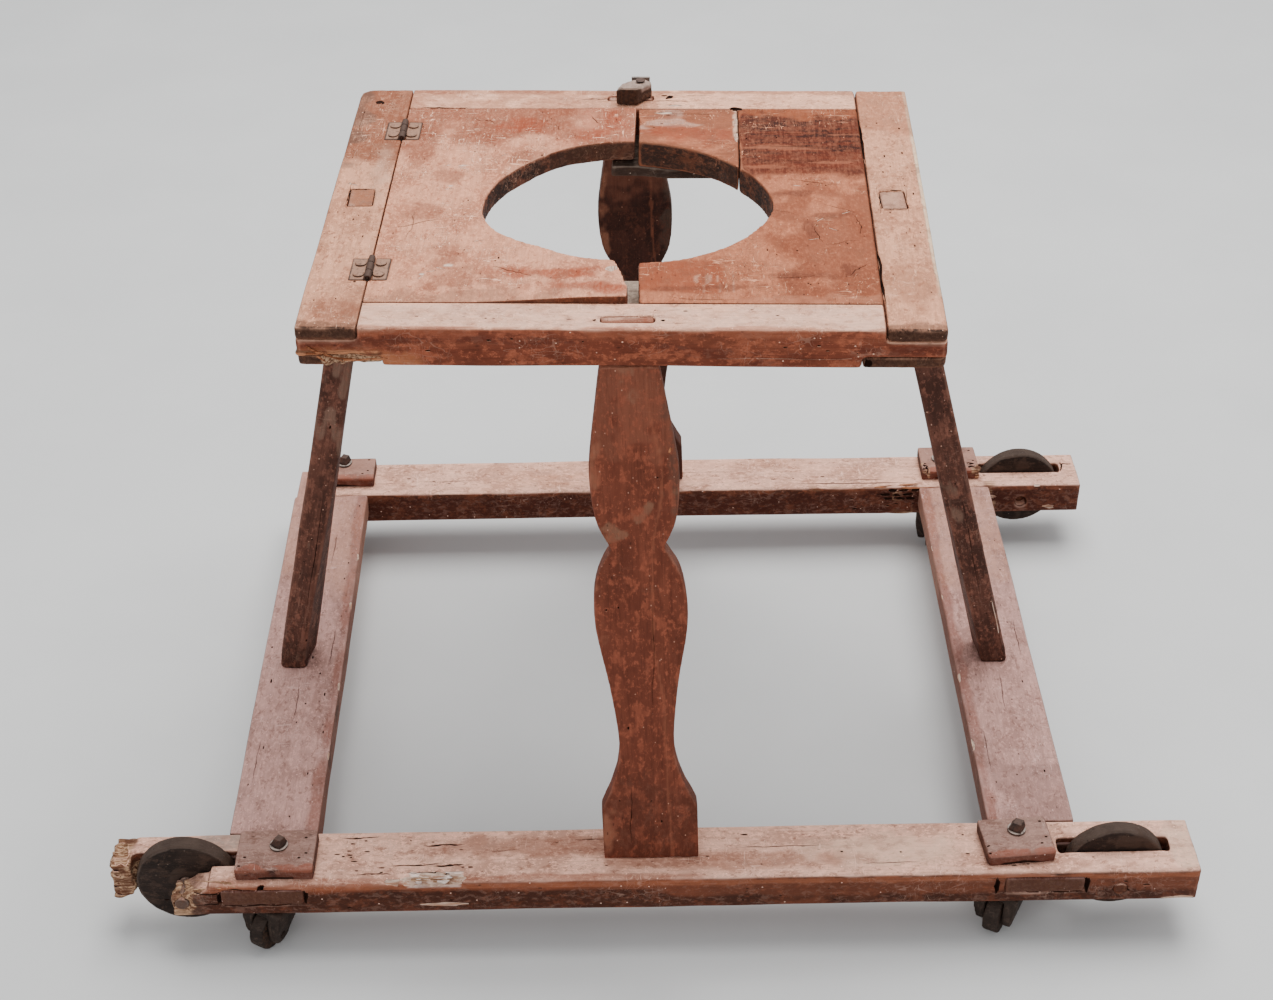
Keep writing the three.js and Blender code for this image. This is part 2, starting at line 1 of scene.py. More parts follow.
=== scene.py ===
# The looks of an antique wooden child's walker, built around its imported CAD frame.
# Every wooden piece is made again from its CAD solid as a fine mesh, then worn, cracked, holed and
# splintered. Each point carries what the materials need: where it is along the grain, how far it
# faces up, and how much it is a worn edge, broken wood or end grain.
import json
import math
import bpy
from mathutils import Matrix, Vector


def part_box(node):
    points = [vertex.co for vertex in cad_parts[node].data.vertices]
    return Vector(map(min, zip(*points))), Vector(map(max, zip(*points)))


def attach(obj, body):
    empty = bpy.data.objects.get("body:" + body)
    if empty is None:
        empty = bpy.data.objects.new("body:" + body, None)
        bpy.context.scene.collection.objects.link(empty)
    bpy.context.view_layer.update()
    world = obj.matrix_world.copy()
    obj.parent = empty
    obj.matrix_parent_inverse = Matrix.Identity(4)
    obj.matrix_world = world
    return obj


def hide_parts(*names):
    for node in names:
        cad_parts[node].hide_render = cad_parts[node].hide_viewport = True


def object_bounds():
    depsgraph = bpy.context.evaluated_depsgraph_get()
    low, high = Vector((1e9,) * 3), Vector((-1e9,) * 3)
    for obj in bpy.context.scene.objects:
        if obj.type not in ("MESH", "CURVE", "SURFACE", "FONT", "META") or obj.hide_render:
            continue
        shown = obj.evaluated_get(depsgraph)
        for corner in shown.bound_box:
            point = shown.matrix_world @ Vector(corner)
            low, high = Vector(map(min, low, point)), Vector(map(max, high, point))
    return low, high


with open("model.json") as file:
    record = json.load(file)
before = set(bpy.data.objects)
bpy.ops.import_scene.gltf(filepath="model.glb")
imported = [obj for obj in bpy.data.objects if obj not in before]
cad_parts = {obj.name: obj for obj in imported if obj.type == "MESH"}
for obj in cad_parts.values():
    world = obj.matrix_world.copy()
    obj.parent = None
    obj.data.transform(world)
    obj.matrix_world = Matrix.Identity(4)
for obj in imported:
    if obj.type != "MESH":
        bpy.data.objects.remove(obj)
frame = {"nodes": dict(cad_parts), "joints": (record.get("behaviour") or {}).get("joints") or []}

from types import SimpleNamespace

import bmesh
import bpy
import numpy as np
from mathutils import Matrix, Vector

CAD_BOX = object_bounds()
MM = 0.001
UP = (0, 0, 1)
OUTWARD = (0, -1, 0)  # out of a front face


# ---- Places read from the frame ----

def middle(node):
    low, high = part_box(node)
    return (low + high) / 2


def box_mm(node):
    """A node's lowest and highest corners, in mm."""
    low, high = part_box(node)
    return low / MM, high / MM


def joint(name):
    return next(j for j in frame["joints"] if j["name"] == name)


def box_of(*nodes):
    boxes = [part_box(n) for n in nodes]
    low = Vector([min(b[0][i] for b in boxes) for i in range(3)])
    high = Vector([max(b[1][i] for b in boxes) for i in range(3)])
    return low, high


def strut_frame(node):
    """A leaning strut's frame: Z runs up it from the deck, and X is level, across the walker."""
    co = points_of(frame["nodes"][node].data)
    low = Vector(co[co[:, 2] < co[:, 2].min() + MM].mean(0))
    high = Vector(co[co[:, 2] > co[:, 2].max() - MM].mean(0))
    up = (high - low).normalized()
    foot = low + up * (DECK * MM - low.z) / up.z
    back = up.cross(Vector((1, 0, 0))).normalized()
    turn = Matrix((back.cross(up), back, up)).transposed()
    return Matrix.Translation(foot) @ turn.to_4x4()


# ---- Mesh arrays ----

def points_of(mesh):
    co = np.empty(len(mesh.vertices) * 3, np.float32)
    mesh.vertices.foreach_get("co", co)
    return co.reshape(-1, 3).astype(float)


def set_points(mesh, co):
    mesh.vertices.foreach_set("co", co.astype(np.float32).ravel())
    mesh.update()


def normals_of(mesh):
    n = np.empty(len(mesh.vertices) * 3, np.float32)
    mesh.vertices.foreach_get("normal", n)
    return n.reshape(-1, 3).astype(float)


def edges_of(mesh):
    e = np.empty(len(mesh.edges) * 2, np.int32)
    mesh.edges.foreach_get("vertices", e)
    return e.reshape(-1, 2)


def write(mesh, name, values, kind="FLOAT"):
    """Stores one value per point, for a material to read."""
    field = {"FLOAT": "value", "FLOAT_VECTOR": "vector", "FLOAT_COLOR": "color"}[kind]
    attribute = mesh.attributes.get(name) or mesh.attributes.new(name, kind, "POINT")
    attribute.data.foreach_set(field, np.asarray(values, np.float32).ravel())


def smoothed(co, edges, times):
    """The points after each has moved half-way to the mean of its neighbours, this many times."""
    first, second = edges[:, 0], edges[:, 1]
    size = len(co)
    count = np.bincount(edges.ravel(), minlength=size)[:, None]
    for _ in range(times):
        total = np.stack(
            [
                np.bincount(first, co[second, k], size) + np.bincount(second, co[first, k], size)
                for k in range(3)
            ],
            axis=1,
        )
        co = (co + total / count) / 2
    return co


# ---- Noise ----

def lattice(x, y, z, seed):
    n = x * 374761393 + y * 668265263 + z * 1440662683 + seed * 1013904223
    n = (n ^ (n >> 13)) * 1274126177
    n = n ^ (n >> 16)
    return (n & 0xFFFF) / 32767.5 - 1.0


def noise(co, size, seed=0, octaves=1):
    """Smooth noise from -1 to 1. Size is the width of its bumps, in mm: one number, or one per axis."""
    p = co / (np.asarray(size, float) * MM)
    total = np.zeros(len(co))
    reach = 0.0
    for octave in range(octaves):
        gain = 0.5**octave
        q = p * 2**octave
        cell = np.floor(q).astype(np.int64)
        f = q - cell
        f = f * f * (3 - 2 * f)
        layer = np.zeros(len(co))
        for corner in range(8):
            step = np.array([corner & 1, corner >> 1 & 1, corner >> 2 & 1])
            weight = np.prod(np.where(step, f, 1 - f), axis=1)
            layer += weight * lattice(*(cell + step).T, seed + 31 * octave)
        total += gain * layer
        reach += gain
    return total / reach * 1.4


def ease(value, low, high):
    """0 below low, 1 above high, and a smooth rise between them."""
    t = np.clip((value - low) / (high - low), 0, 1)
    return t * t * (3 - 2 * t)


# ---- Cutters and splinters, each gathered into one mesh ----

class Shapes:
    """Small closed shapes in one mesh. All places and sizes are in mm, in the piece's frame."""

    def __init__(self, material, seed):
        self.material = material
        self.points = []
        self.faces = []
        self.random = np.random.default_rng(seed)

    def add(self, points, faces):
        start = len(self.points)
        self.points += [tuple(np.asarray(p) * MM) for p in points]
        self.faces += [[start + i for i in face] for face in faces]

    def crack(self, start, end, width, depth, up=UP, wander=0.35, stations=12):
        """A V-shaped crack that tapers to nothing at both ends."""
        a, b, up = (np.array(v, float) for v in (start, end, up))
        side = np.cross(up, b - a)
        side /= np.linalg.norm(side)
        drift = np.cumsum(self.random.normal(0, wander, stations))
        drift -= np.linspace(drift[0], drift[-1], stations)
        points = []
        for k in range(stations):
            t = k / (stations - 1)
            swell = max(math.sin(math.pi * t) ** 0.6, 0.08)
            swell *= 1 + 0.35 * self.random.uniform(-1, 1)
            centre = a + (b - a) * t + side * drift[k]
            half = side * width * swell / 2
            points += [centre + half + up * 1.5, centre - half + up * 1.5, centre - up * depth * swell]
        faces = [[0, 1, 2], [3 * stations - 1, 3 * stations - 2, 3 * stations - 3]]
        for k in range(stations - 1):
            i = 3 * k
            for m, n in ((0, 1), (1, 2), (2, 0)):
                faces.append([i + m, i + 3 + m, i + 3 + n, i + n])
        self.add(points, faces)

    def hole(self, centre, radius, depth, up=UP, length=1.0, along=(1, 0, 0), sides=7):
        """A worm hole, drawn out to `length` times its width along the grain."""
        centre, up, along = (np.array(v, float) for v in (centre, up, along))
        across = np.cross(up, along)
        lean = along * self.random.uniform(-0.5, 0.5) + across * self.random.uniform(-0.3, 0.3)
        above = 1.6
        points = []
        for level, size in ((above, 1.0), (-depth, 0.6)):
            for k in range(sides):
                angle = 2 * math.pi * k / sides
                around = along * math.cos(angle) * length + across * math.sin(angle)
                points.append(centre + up * level + lean * (above - level) + around * radius * size)
        ring = list(range(sides))
        faces = [ring[::-1], [sides + k for k in ring]]
        faces += [[k, (k + 1) % sides, sides + (k + 1) % sides, sides + k] for k in ring]
        self.add(points, faces)

    def holes(self, count, low, high, level, up=UP, along=(1, 0, 0), radius=(0.35, 0.8), length=(1, 4)):
        """Worm holes scattered over a face: low and high are its corners in the face's two axes."""
        normal = int(np.argmax(np.abs(up)))
        axes = [k for k in range(3) if k != normal]
        for _ in range(count):
            centre = np.zeros(3)
            centre[axes] = self.random.uniform(low, high)
            centre[normal] = level
            self.hole(centre, self.random.uniform(*radius), self.random.uniform(2, 5), up,
                      self.random.uniform(*length), along)

    def lump(self, centre, size, turn=0.0, rough=0.18):
        """A rough rounded lump, to take out of an edge or to add as broken wood."""
        bm = bmesh.new()
        bmesh.ops.create_icosphere(bm, subdivisions=2, radius=1)
        centre, size = np.array(centre, float), np.array(size, float)
        c, s = math.cos(turn), math.sin(turn)
        points = []
        for v in bm.verts:
            x, y, z = np.array(v.co) * size / 2 * self.random.uniform(1 - rough, 1 + rough)
            points.append(np.array([c * x - s * y, s * x + c * y, z]) + centre)
        faces = [[v.index for v in f.verts] for f in bm.faces]
        bm.free()
        self.add(points, faces)

    def sliver(self, start, along, length, width, thick, up=UP, curl=0.15):
        """A splinter: widest near its root, bent a little, and ending in a point."""
        start, along, up = (np.array(v, float) for v in (start, along, up))
        along /= np.linalg.norm(along)
        side = np.cross(up, along)
        side /= np.linalg.norm(side)
        up = np.cross(along, side)
        bend = up * self.random.uniform(-curl, curl) + side * self.random.uniform(-curl, curl)
        stations = 5
        points = []
        for k in range(stations):
            t = k / (stations - 1)
            centre = start + along * length * t + bend * length * t * t
            half = max(1 - t * t, 0.06) / 2
            for a, b in ((1, 0.6), (-1, 1), (-0.7, -1), (0.8, -0.8)):
                points.append(centre + side * a * half * width + up * b * half * thick)
        faces = [[3, 2, 1, 0], [4 * stations - 4 + k for k in range(4)]]
        for k in range(stations - 1):
            for m in range(4):
                n = (m + 1) % 4
                faces.append([4 * k + m, 4 * k + n, 4 * k + 4 + n, 4 * k + 4 + m])
        self.add(points, faces)

    def slivers(self, count, low, high, along, length, width=(0.8, 2.2), spread=0.2, up=UP):
        """Splinters that start from points scattered through a box."""
        for _ in range(count):
            way = np.array(along, float) + self.random.normal(0, spread, 3)
            self.sliver(self.random.uniform(low, high), way, self.random.uniform(*length),
                        self.random.uniform(*width), self.random.uniform(0.5, 1.3), up)

    def mesh(self):
        mesh = bpy.data.meshes.new("shapes")
        mesh.from_pydata(self.points, [], self.faces)
        bm = bmesh.new()
        bm.from_mesh(mesh)
        bmesh.ops.recalc_face_normals(bm, faces=bm.faces)
        bm.to_mesh(mesh)
        bm.free()
        mesh.materials.append(self.material)
        return mesh


def baked(obj):
    """The object's mesh with its modifiers applied."""
    graph = bpy.context.evaluated_depsgraph_get()
    return bpy.data.meshes.new_from_object(obj.evaluated_get(graph))


def with_modifier(mesh, kind, cutter=None, **settings):
    helper = bpy.data.objects.new("helper", mesh)
    bpy.context.scene.collection.objects.link(helper)
    modifier = helper.modifiers.new("modifier", kind)
    for key, value in settings.items():
        setattr(modifier, key, value)
    if cutter is not None:
        modifier.object = cutter
    made = baked(helper)
    bpy.data.objects.remove(helper)
    return made


def fine_mesh(node, place, voxel):
    """A CAD node's solid in the frame `place`, as a fine even mesh."""
    source = frame["nodes"][node].data.copy()
    source.transform(place.inverted())
    return with_modifier(source, "REMESH", mode="VOXEL", voxel_size=voxel * MM, use_smooth_shade=True)


# ---- Weathering ----

GRAIN_ORDER = {"X": (0, 1, 2), "Y": (1, 0, 2), "Z": (2, 0, 1)}


def along_grain(co, axis):
    """The points with the grain's axis first."""
    return co[:, GRAIN_ORDER[axis]]


def round_over(co, first, second, radius):
    """Rounds a square arris. Each side is (axis, where its face is in mm, direction into the wood)."""
    (i, face_i, into_i), (j, face_j, into_j) = first, second
    from_i = (co[:, i] / MM - face_i) * into_i
    from_j = (co[:, j] / MM - face_j) * into_j
    away = np.hypot(np.maximum(radius - from_i, 0), np.maximum(radius - from_j, 0))
    inside = (from_i < radius) & (from_j < radius) & (away > radius)
    pull = np.where(inside, radius / np.maximum(away, 1e-6), 1)
    co = co.copy()
    co[:, i] = np.where(inside, face_i + into_i * (radius - (radius - from_i) * pull), co[:, i] / MM) * MM
    co[:, j] = np.where(inside, face_j + into_j * (radius - (radius - from_j) * pull), co[:, j] / MM) * MM
    return co


def weather(mesh, axis, wear, ridge, wobble, seed, passes, raw, tear, guard, shape):
    """Rounds the edges unevenly, raises the grain, lets the faces stray, and tears broken wood."""
    co, edges = points_of(mesh), edges_of(mesh)
    if shape is not None:
        co = shape(co)
        set_points(mesh, co)
    soft = smoothed(co, edges, passes)
    normal = normals_of(mesh)
    rounding = np.einsum("ij,ij->i", co - soft, normal)
    bare = 1.0 if guard is None else guard(co)
    uneven = np.clip(wear * (0.6 + 0.4 * noise(co, 45, seed, 2)) + 0.1, 0, 1) * bare
    worn = co + (soft - co) * uneven[:, None]
    fibre_co = along_grain(co, axis)
    grain = noise(fibre_co, (60, 4.5, 4.5), seed + 1, 2) * ridge
    stray = noise(fibre_co, (90, 30, 30), seed + 2, 2) * wobble
    broken = np.zeros(len(co)) if raw is None else raw(co)
    fibres = noise(fibre_co, (26, 3.2, 3.2), seed + 3, 2) + 0.6 * noise(co, (9, 5, 5), seed + 4)
    height = (grain + stray) * bare * (1 - broken) + fibres * tear * broken
    worn += normal * (height * MM)[:, None]
    set_points(mesh, worn)
    chance = 0.55 + 0.45 * noise(co, 16, seed + 5, 2)
    write(mesh, "edge", np.clip(rounding / (0.5 * MM), 0, 1) * chance * bare)
    write(mesh, "raw", broken)


def describe(mesh, place, axis, seed):
    """Stores each point's place along the grain, how far it faces up, and whether it is end grain."""
    co, normal = points_of(mesh), normals_of(mesh)
    shift = np.random.default_rng(seed).uniform(-3, 3, 3)
    write(mesh, "grain", along_grain(co, axis) + shift, "FLOAT_VECTOR")
    turn = np.array(place.to_3x3())
    write(mesh, "up", normal @ turn[2])
    write(mesh, "end", np.clip(np.abs(along_grain(normal, axis)[:, 0]) * 3 - 1.8, 0, 1))


def carve(mesh, shapes):
    """Takes the shapes out of the mesh. What they lay bare has their material."""
    tool = bpy.data.objects.new("tool", shapes.mesh())
    bpy.context.scene.collection.objects.link(tool)
    made = with_modifier(
        mesh, "BOOLEAN", tool, operation="DIFFERENCE", solver="MANIFOLD", material_mode="TRANSFER")
    bpy.data.objects.remove(tool)
    return made


def settle(name, mesh, place, body, nodes=()):
    """Sets a finished mesh in place on its body."""
    mesh.polygons.foreach_set("use_smooth", np.ones(len(mesh.polygons), bool))
    mesh.transform(place)
    mesh.name = name
    piece = bpy.data.objects.new(name, mesh)
    bpy.context.scene.collection.objects.link(piece)
    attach(piece, body)
    if nodes:
        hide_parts(*nodes)
    return piece


def rebuild(node, place, axis, body, material, seed, voxel=1.6, wear=0.7, ridge=0.16, wobble=0.35,
            passes=6, raw=None, tear=1.8, guard=None, shape=None, cuts=(), stain=None):
    """Makes a CAD node again as a worn piece. Its features are functions of the points in `place`."""
    mesh = fine_mesh(node, place, voxel)
    weather(mesh, axis, wear, ridge, wobble, seed, passes, raw, tear, guard, shape)
    mesh.materials.clear()
    mesh.materials.append(material)
    for shapes in cuts:
        if shapes.faces:
            mesh = carve(mesh, shapes)
    describe(mesh, place, axis, seed)
    co = points_of(mesh)
    write(mesh, "stain", np.zeros((len(co), 4)) if stain is None else stain(co), "FLOAT_COLOR")
    return settle(node + "_worn", mesh, place, body, [node])


def extra(name, shapes, place, axis, body, seed):
    """A piece with no CAD node of its own, such as a tuft of splinters, made from small shapes."""
    mesh = shapes.mesh()
    describe(mesh, place, axis, seed)
    write(mesh, "edge", np.zeros(len(mesh.vertices)))
    write(mesh, "raw", np.ones(len(mesh.vertices)))
    write(mesh, "stain", np.zeros((len(mesh.vertices), 4)), "FLOAT_COLOR")
    return settle(name, mesh, place, body)


class Stains:
    """Blots of colour laid over a piece, later ones on top."""

    def __init__(self, co, seed, reach=3):
        """Blots lie on the upper side, which ends `reach` mm below the highest point."""
        self.co = co / MM
        self.upper = ease(self.co[:, 2], self.co[:, 2].max() - reach, self.co[:, 2].max() - reach / 2)
        self.seed = seed
        self.colour = np.zeros((len(co), 3))
        self.amount = np.zeros(len(co))

    def ragged(self, size=14, octaves=3):
        self.seed += 7
        return noise(self.co * MM, size, self.seed, octaves)

    def lay(self, colour, mask):
        mask = np.clip(mask, 0, 1)
        total = mask + self.amount * (1 - mask)
        share = (mask / np.maximum(total, 1e-6))[:, None]
        self.colour = self.colour * (1 - share) + np.array(colour[:3]) * share
        self.amount = total

    def blot(self, colour, centre, size, strength=1.0, rough=0.5, turn=0.0):
        """An oval blot on the upper side, with a ragged rim. Centre and size are x and y in mm."""
        x, y = self.co[:, 0] - centre[0], self.co[:, 1] - centre[1]
        c, s = math.cos(math.radians(turn)), math.sin(math.radians(turn))
        away = np.hypot((c * x + s * y) / size[0] * 2, (c * y - s * x) / size[1] * 2)
        self.lay(colour, strength * self.upper * ease(-(away + rough * self.ragged()), -1.25, -0.6))

    def zone(self, colour, mask, strength=1.0, rough=0.3, size=14):
        """A zone whose mask rises from 0 to 1 across its rim, which is made ragged."""
        ragged_mask = ease(mask + rough * self.ragged(size), 0.25, 0.75)
        self.lay(colour, strength * ragged_mask * ease(mask, 0, 0.12))

    def rgba(self):
        return np.column_stack([self.colour, self.amount])


# ---- Materials ----

def srgb(r, g, b):
    return tuple(((c / 255 + 0.055) / 1.055) ** 2.4 for c in (r, g, b)) + (1.0,)


def shade(colour, factor):
    return tuple(c * factor for c in colour[:3]) + (1.0,)


class Paint:
    """A material's node tree, written as calls."""

    def __init__(self, name):
        self.material = bpy.data.materials.new(name)
        self.material.use_nodes = True
        self.tree = self.material.node_tree
        self.tree.nodes.clear()
        self.output = self.tree.nodes.new("ShaderNodeOutputMaterial")
        self.shader = self.tree.nodes.new("ShaderNodeBsdfPrincipled")
        self.tree.links.new(self.shader.outputs[0], self.output.inputs[0])

    def feed(self, socket, value):
        if isinstance(value, bpy.types.NodeSocket):
            self.tree.links.new(value, socket)
        else:
            socket.default_value = value

    def attribute(self, name, output="Fac"):
        node = self.tree.nodes.new("ShaderNodeAttribute")
        node.attribute_name = name
        return node.outputs[output]

    def scaled(self, vector, by):
        node = self.tree.nodes.new("ShaderNodeVectorMath")
        node.operation = "MULTIPLY"
        self.feed(node.inputs[0], vector)
        node.inputs[1].default_value = by
        return node.outputs[0]

    def noise(self, vector, detail=3.0, roughness=0.55, distortion=0.0):
        node = self.tree.nodes.new("ShaderNodeTexNoise")
        self.feed(node.inputs["Vector"], vector)
        node.inputs["Scale"].default_value = 1.0
        node.inputs["Detail"].default_value = detail
        node.inputs["Roughness"].default_value = roughness
        node.inputs["Distortion"].default_value = distortion
        return node.outputs[0]

    def dots(self, vector, radius, edge):
        """1 inside scattered dots of this radius, in cells one unit wide."""
        node = self.tree.nodes.new("ShaderNodeTexVoronoi")
        self.feed(node.inputs["Vector"], vector)
        node.inputs["Scale"].default_value = 1.0
        return self.step(node.outputs["Distance"], radius + edge, radius)

    def math(self, operation, a, b=0.0):
        node = self.tree.nodes.new("ShaderNodeMath")
        node.operation = operation
        self.feed(node.inputs[0], a)
        self.feed(node.inputs[1], b)
        return node.outputs[0]

    def step(self, value, low, high):
        """0 at low and 1 at high, with a smooth rise or fall between."""
        node = self.tree.nodes.new("ShaderNodeMapRange")
        node.interpolation_type = "SMOOTHSTEP"
        self.feed(node.inputs["Value"], value)
        flipped = low > high
        node.inputs["From Min"].default_value = min(low, high)
        node.inputs["From Max"].default_value = max(low, high)
        node.inputs["To Min"].default_value = 1.0 if flipped else 0.0
        node.inputs["To Max"].default_value = 0.0 if flipped else 1.0
        return node.outputs[0]

    def line(self, value, width):
        """Thin lines where a noise crosses its middle value."""
        off = self.math("ABSOLUTE", self.math("SUBTRACT", value, 0.5))
        return self.step(off, width, width * 0.3)

    def deepen(self, colour, power):
        """The colour with its dark channels darkened further, as on a strongly lit side."""
        node = self.tree.nodes.new("ShaderNodeGamma")
        self.feed(node.inputs["Color"], colour)
        node.inputs["Gamma"].default_value = power
        return node.outputs[0]

    def times(self, *values):
        product = values[0]
        for value in values[1:]:
            product = self.math("MULTIPLY", product, value)
        return product

    def mix(self, factor, a, b):
        node = self.tree.nodes.new("ShaderNodeMix")
        node.data_type = "RGBA"
        self.feed(node.inputs[0], factor)
        self.feed(node.inputs[6], a)
        self.feed(node.inputs[7], b)
        return node.outputs[2]

    def bump(self, height, distance):
        node = self.tree.nodes.new("ShaderNodeBump")
        node.inputs["Strength"].default_value = 1.0
        node.inputs["Distance"].default_value = distance * MM
        self.feed(node.inputs["Height"], height)
        self.feed(self.shader.inputs["Normal"], node.outputs[0])

    def finish(self, colour, roughness, metallic=0.0, specular=0.35):
        self.feed(self.shader.inputs["Base Color"], colour)
        self.feed(self.shader.inputs["Roughness"], roughness)
        self.shader.inputs["Metallic"].default_value = metallic
        self.shader.inputs["Specular IOR Level"].default_value = specular
        return self.material


STRAW = srgb(206, 166, 132)
STRAW_DARK = srgb(118, 78, 54)
ORANGE = srgb(196, 130, 92)
END_GRAIN = srgb(84, 56, 40)


def wood_noises(p, grain):
    """The noises that wood is made of. Scales are bumps in a metre: along the grain, then across it."""
    return SimpleNamespace(
        fibres=p.noise(p.scaled(grain, (30, 620, 620)), 4.0, 0.7),
        bands=p.noise(p.scaled(grain, (6, 90, 90)), 3.0, 0.6, 0.8),
        patches=p.noise(p.scaled(grain, (22, 34, 34)), 6.0, 0.68),
        clouds=p.noise(p.scaled(grain, (65, 95, 95)), 6.0, 0.72),
        fine=p.noise(p.scaled(grain, (260, 380, 380)), 4.0, 0.75),
        dirt=p.noise(p.scaled(grain, (130, 210, 210)), 5.0, 0.75, 0.5),
    )


def layered(p, colour, *layers):
    """Lays colours over one another. Each layer is a noise, where it starts and ends, how much of the
    colour to lay, and the colour."""
    for value, low, high, amount, over in layers:
        colour = p.mix(p.times(p.step(value, low, high), amount), colour, over)
    return colour


def stained(p, n, colour, dark, tan):
    """Lays the piece's own stains over a wood, broken up by its grit."""
    grit = p.math("ADD", p.times(n.fibres, 0.35), p.times(n.fine, 0.25))
    grit = p.math("ADD", p.times(n.clouds, 0.4), grit)
    patchy = p.math("ADD", 0.7, p.times(0.3, p.step(grit, 0.56, 0.44)))
    stain = layered(
        p, p.attribute("stain", "Color"),
        (n.clouds, 0.5, 0.6, 0.35, shade(dark, 0.8)),
        (n.dirt, 0.5, 0.6, 0.16, tan),
    )
    return p.mix(p.times(p.attribute("stain", "Alpha"), patchy), colour, stain)


def scratches(p, grain, up, amount):
    """Short scratches in two directions, most of them on the upper side."""
    slant = p.noise(p.scaled(grain, (45, 300, 120)), 1.0, 0.5, 0.4)
    cross = p.noise(p.scaled(grain, (260, 34, 100)), 1.0, 0.5, 0.6)
    where = p.step(p.noise(p.scaled(grain, (24, 24, 24)), 2.0), 0.5, 0.58)
    scratch = p.times(p.math("MAXIMUM", p.line(slant, 0.012), p.line(cross, 0.012)), where, amount)
    return p.times(scratch, p.math("ADD", 0.25, p.times(0.75, p.step(up, 0.3, 0.85))))


def worn_and_broken(p, n, up, colour, dark, warm, dust_and_sheen, broken):
    """Lays pale worn edges, dark end grain and freshly broken wood over a wood."""
    worn = p.mix(p.times(p.step(up, -0.2, 0.6), 0.7), shade(warm, 1.6), dust_and_sheen)
    colour = p.mix(p.times(p.step(p.attribute("edge"), 0.2, 0.9), 0.5), colour, worn)
    end_grain = p.mix(p.step(n.fine, 0.4, 0.6), shade(dark, 0.6), END_GRAIN)
    colour = p.mix(p.times(p.attribute("end"), 0.6, p.step(up, 0.85, 0.3)), colour, end_grain)
    splinter = p.mix(p.step(n.fibres, 0.44, 0.58), broken, STRAW_DARK)
    splinter = p.mix(p.times(p.step(n.clouds, 0.48, 0.58), 0.7), splinter, shade(dark, 0.8))
    return p.mix(p.step(p.attribute("raw"), 0.2, 0.7), colour, splinter)


def wood(name, dark, warm, dust_and_sheen, dust_and_sheen_share=0.92, mottled=0.7, scratched=0.4, rough=0.7, broken=STRAW):
    """Old waxed wood: dark sides; on top a pale layer, partly a real dusting and partly a painted sheen of
    reflected sky, with scratches; paler worn edges.
    """
    p = Paint(name)
    grain = p.attribute("grain", "Vector")
    up = p.attribute("up")
    n = wood_noises(p, grain)
    tan = p.mix(0.5, warm, dust_and_sheen)
    side = layered(
        p, dark,
        (n.bands, 0.42, 0.62, 0.6, warm),
        (n.patches, 0.47, 0.6, mottled, shade(dark, 0.45)),
        (n.clouds, 0.5, 0.6, 0.5, shade(warm, 1.6)),
        (n.fibres, 0.5, 0.64, 0.45, shade(dark, 0.5)),
        (n.fine, 0.54, 0.63, 0.35, shade(warm, 2.0)),
    )
    # The pale top: partly a real dusting, partly a painted sheen of reflected sky.
    dust_and_sheen_top = layered(
        p, dust_and_sheen,
        (n.bands, 0.43, 0.6, 0.35, shade(dust_and_sheen, 0.74)),
        (n.patches, 0.48, 0.6, mottled, tan),
        (n.clouds, 0.5, 0.6, 0.5, shade(dust_and_sheen, 0.66)),
        (n.dirt, 0.53, 0.62, 0.45, warm),
        (n.fibres, 0.48, 0.62, 0.35, tan),
        (n.fine, 0.52, 0.6, 0.5, shade(dust_and_sheen, 1.3)),
    )
    # How much of the painted sheen and the dusting each point takes, by how far it faces up.
    dust_and_sheen_amount = p.times(p.step(up, 0.3, 0.85), dust_and_sheen_share)
    colour = stained(p, n, p.mix(dust_and_sheen_amount, side, dust_and_sheen_top), dark, tan)
    colour = p.mix(dust_and_sheen_amount, colour, p.deepen(colour, 1.3))

    scratch = scratches(p, grain, up, scratched)
    speck = p.times(p.dots(p.scaled(grain, (110, 140, 140)), 0.05, 0.03), 0.7)
    pore = p.dots(p.scaled(grain, (80, 240, 240)), 0.07, 0.07)
    pore = p.times(pore, p.step(n.patches, 0.5, 0.58), 0.7)
    colour = p.mix(pore, colour, shade(dark, 0.35))
    colour = p.mix(p.math("MAXIMUM", scratch, speck), colour, shade(dust_and_sheen, 1.3))
    colour = worn_and_broken(p, n, up, colour, dark, warm, dust_and_sheen, broken)

    height = p.math("ADD", p.times(n.fibres, 0.5), p.times(n.fine, 0.4))
    height = p.math("ADD", height, p.times(n.clouds, 0.9))
    height = p.math("SUBTRACT", height, p.times(scratch, 0.4))
    height = p.math("SUBTRACT", height, p.times(pore, 0.5))
    p.bump(height, 1.0)
    return p.finish(colour, p.math("ADD", rough - 0.08, p.times(n.patches, 0.25)), specular=0.2)


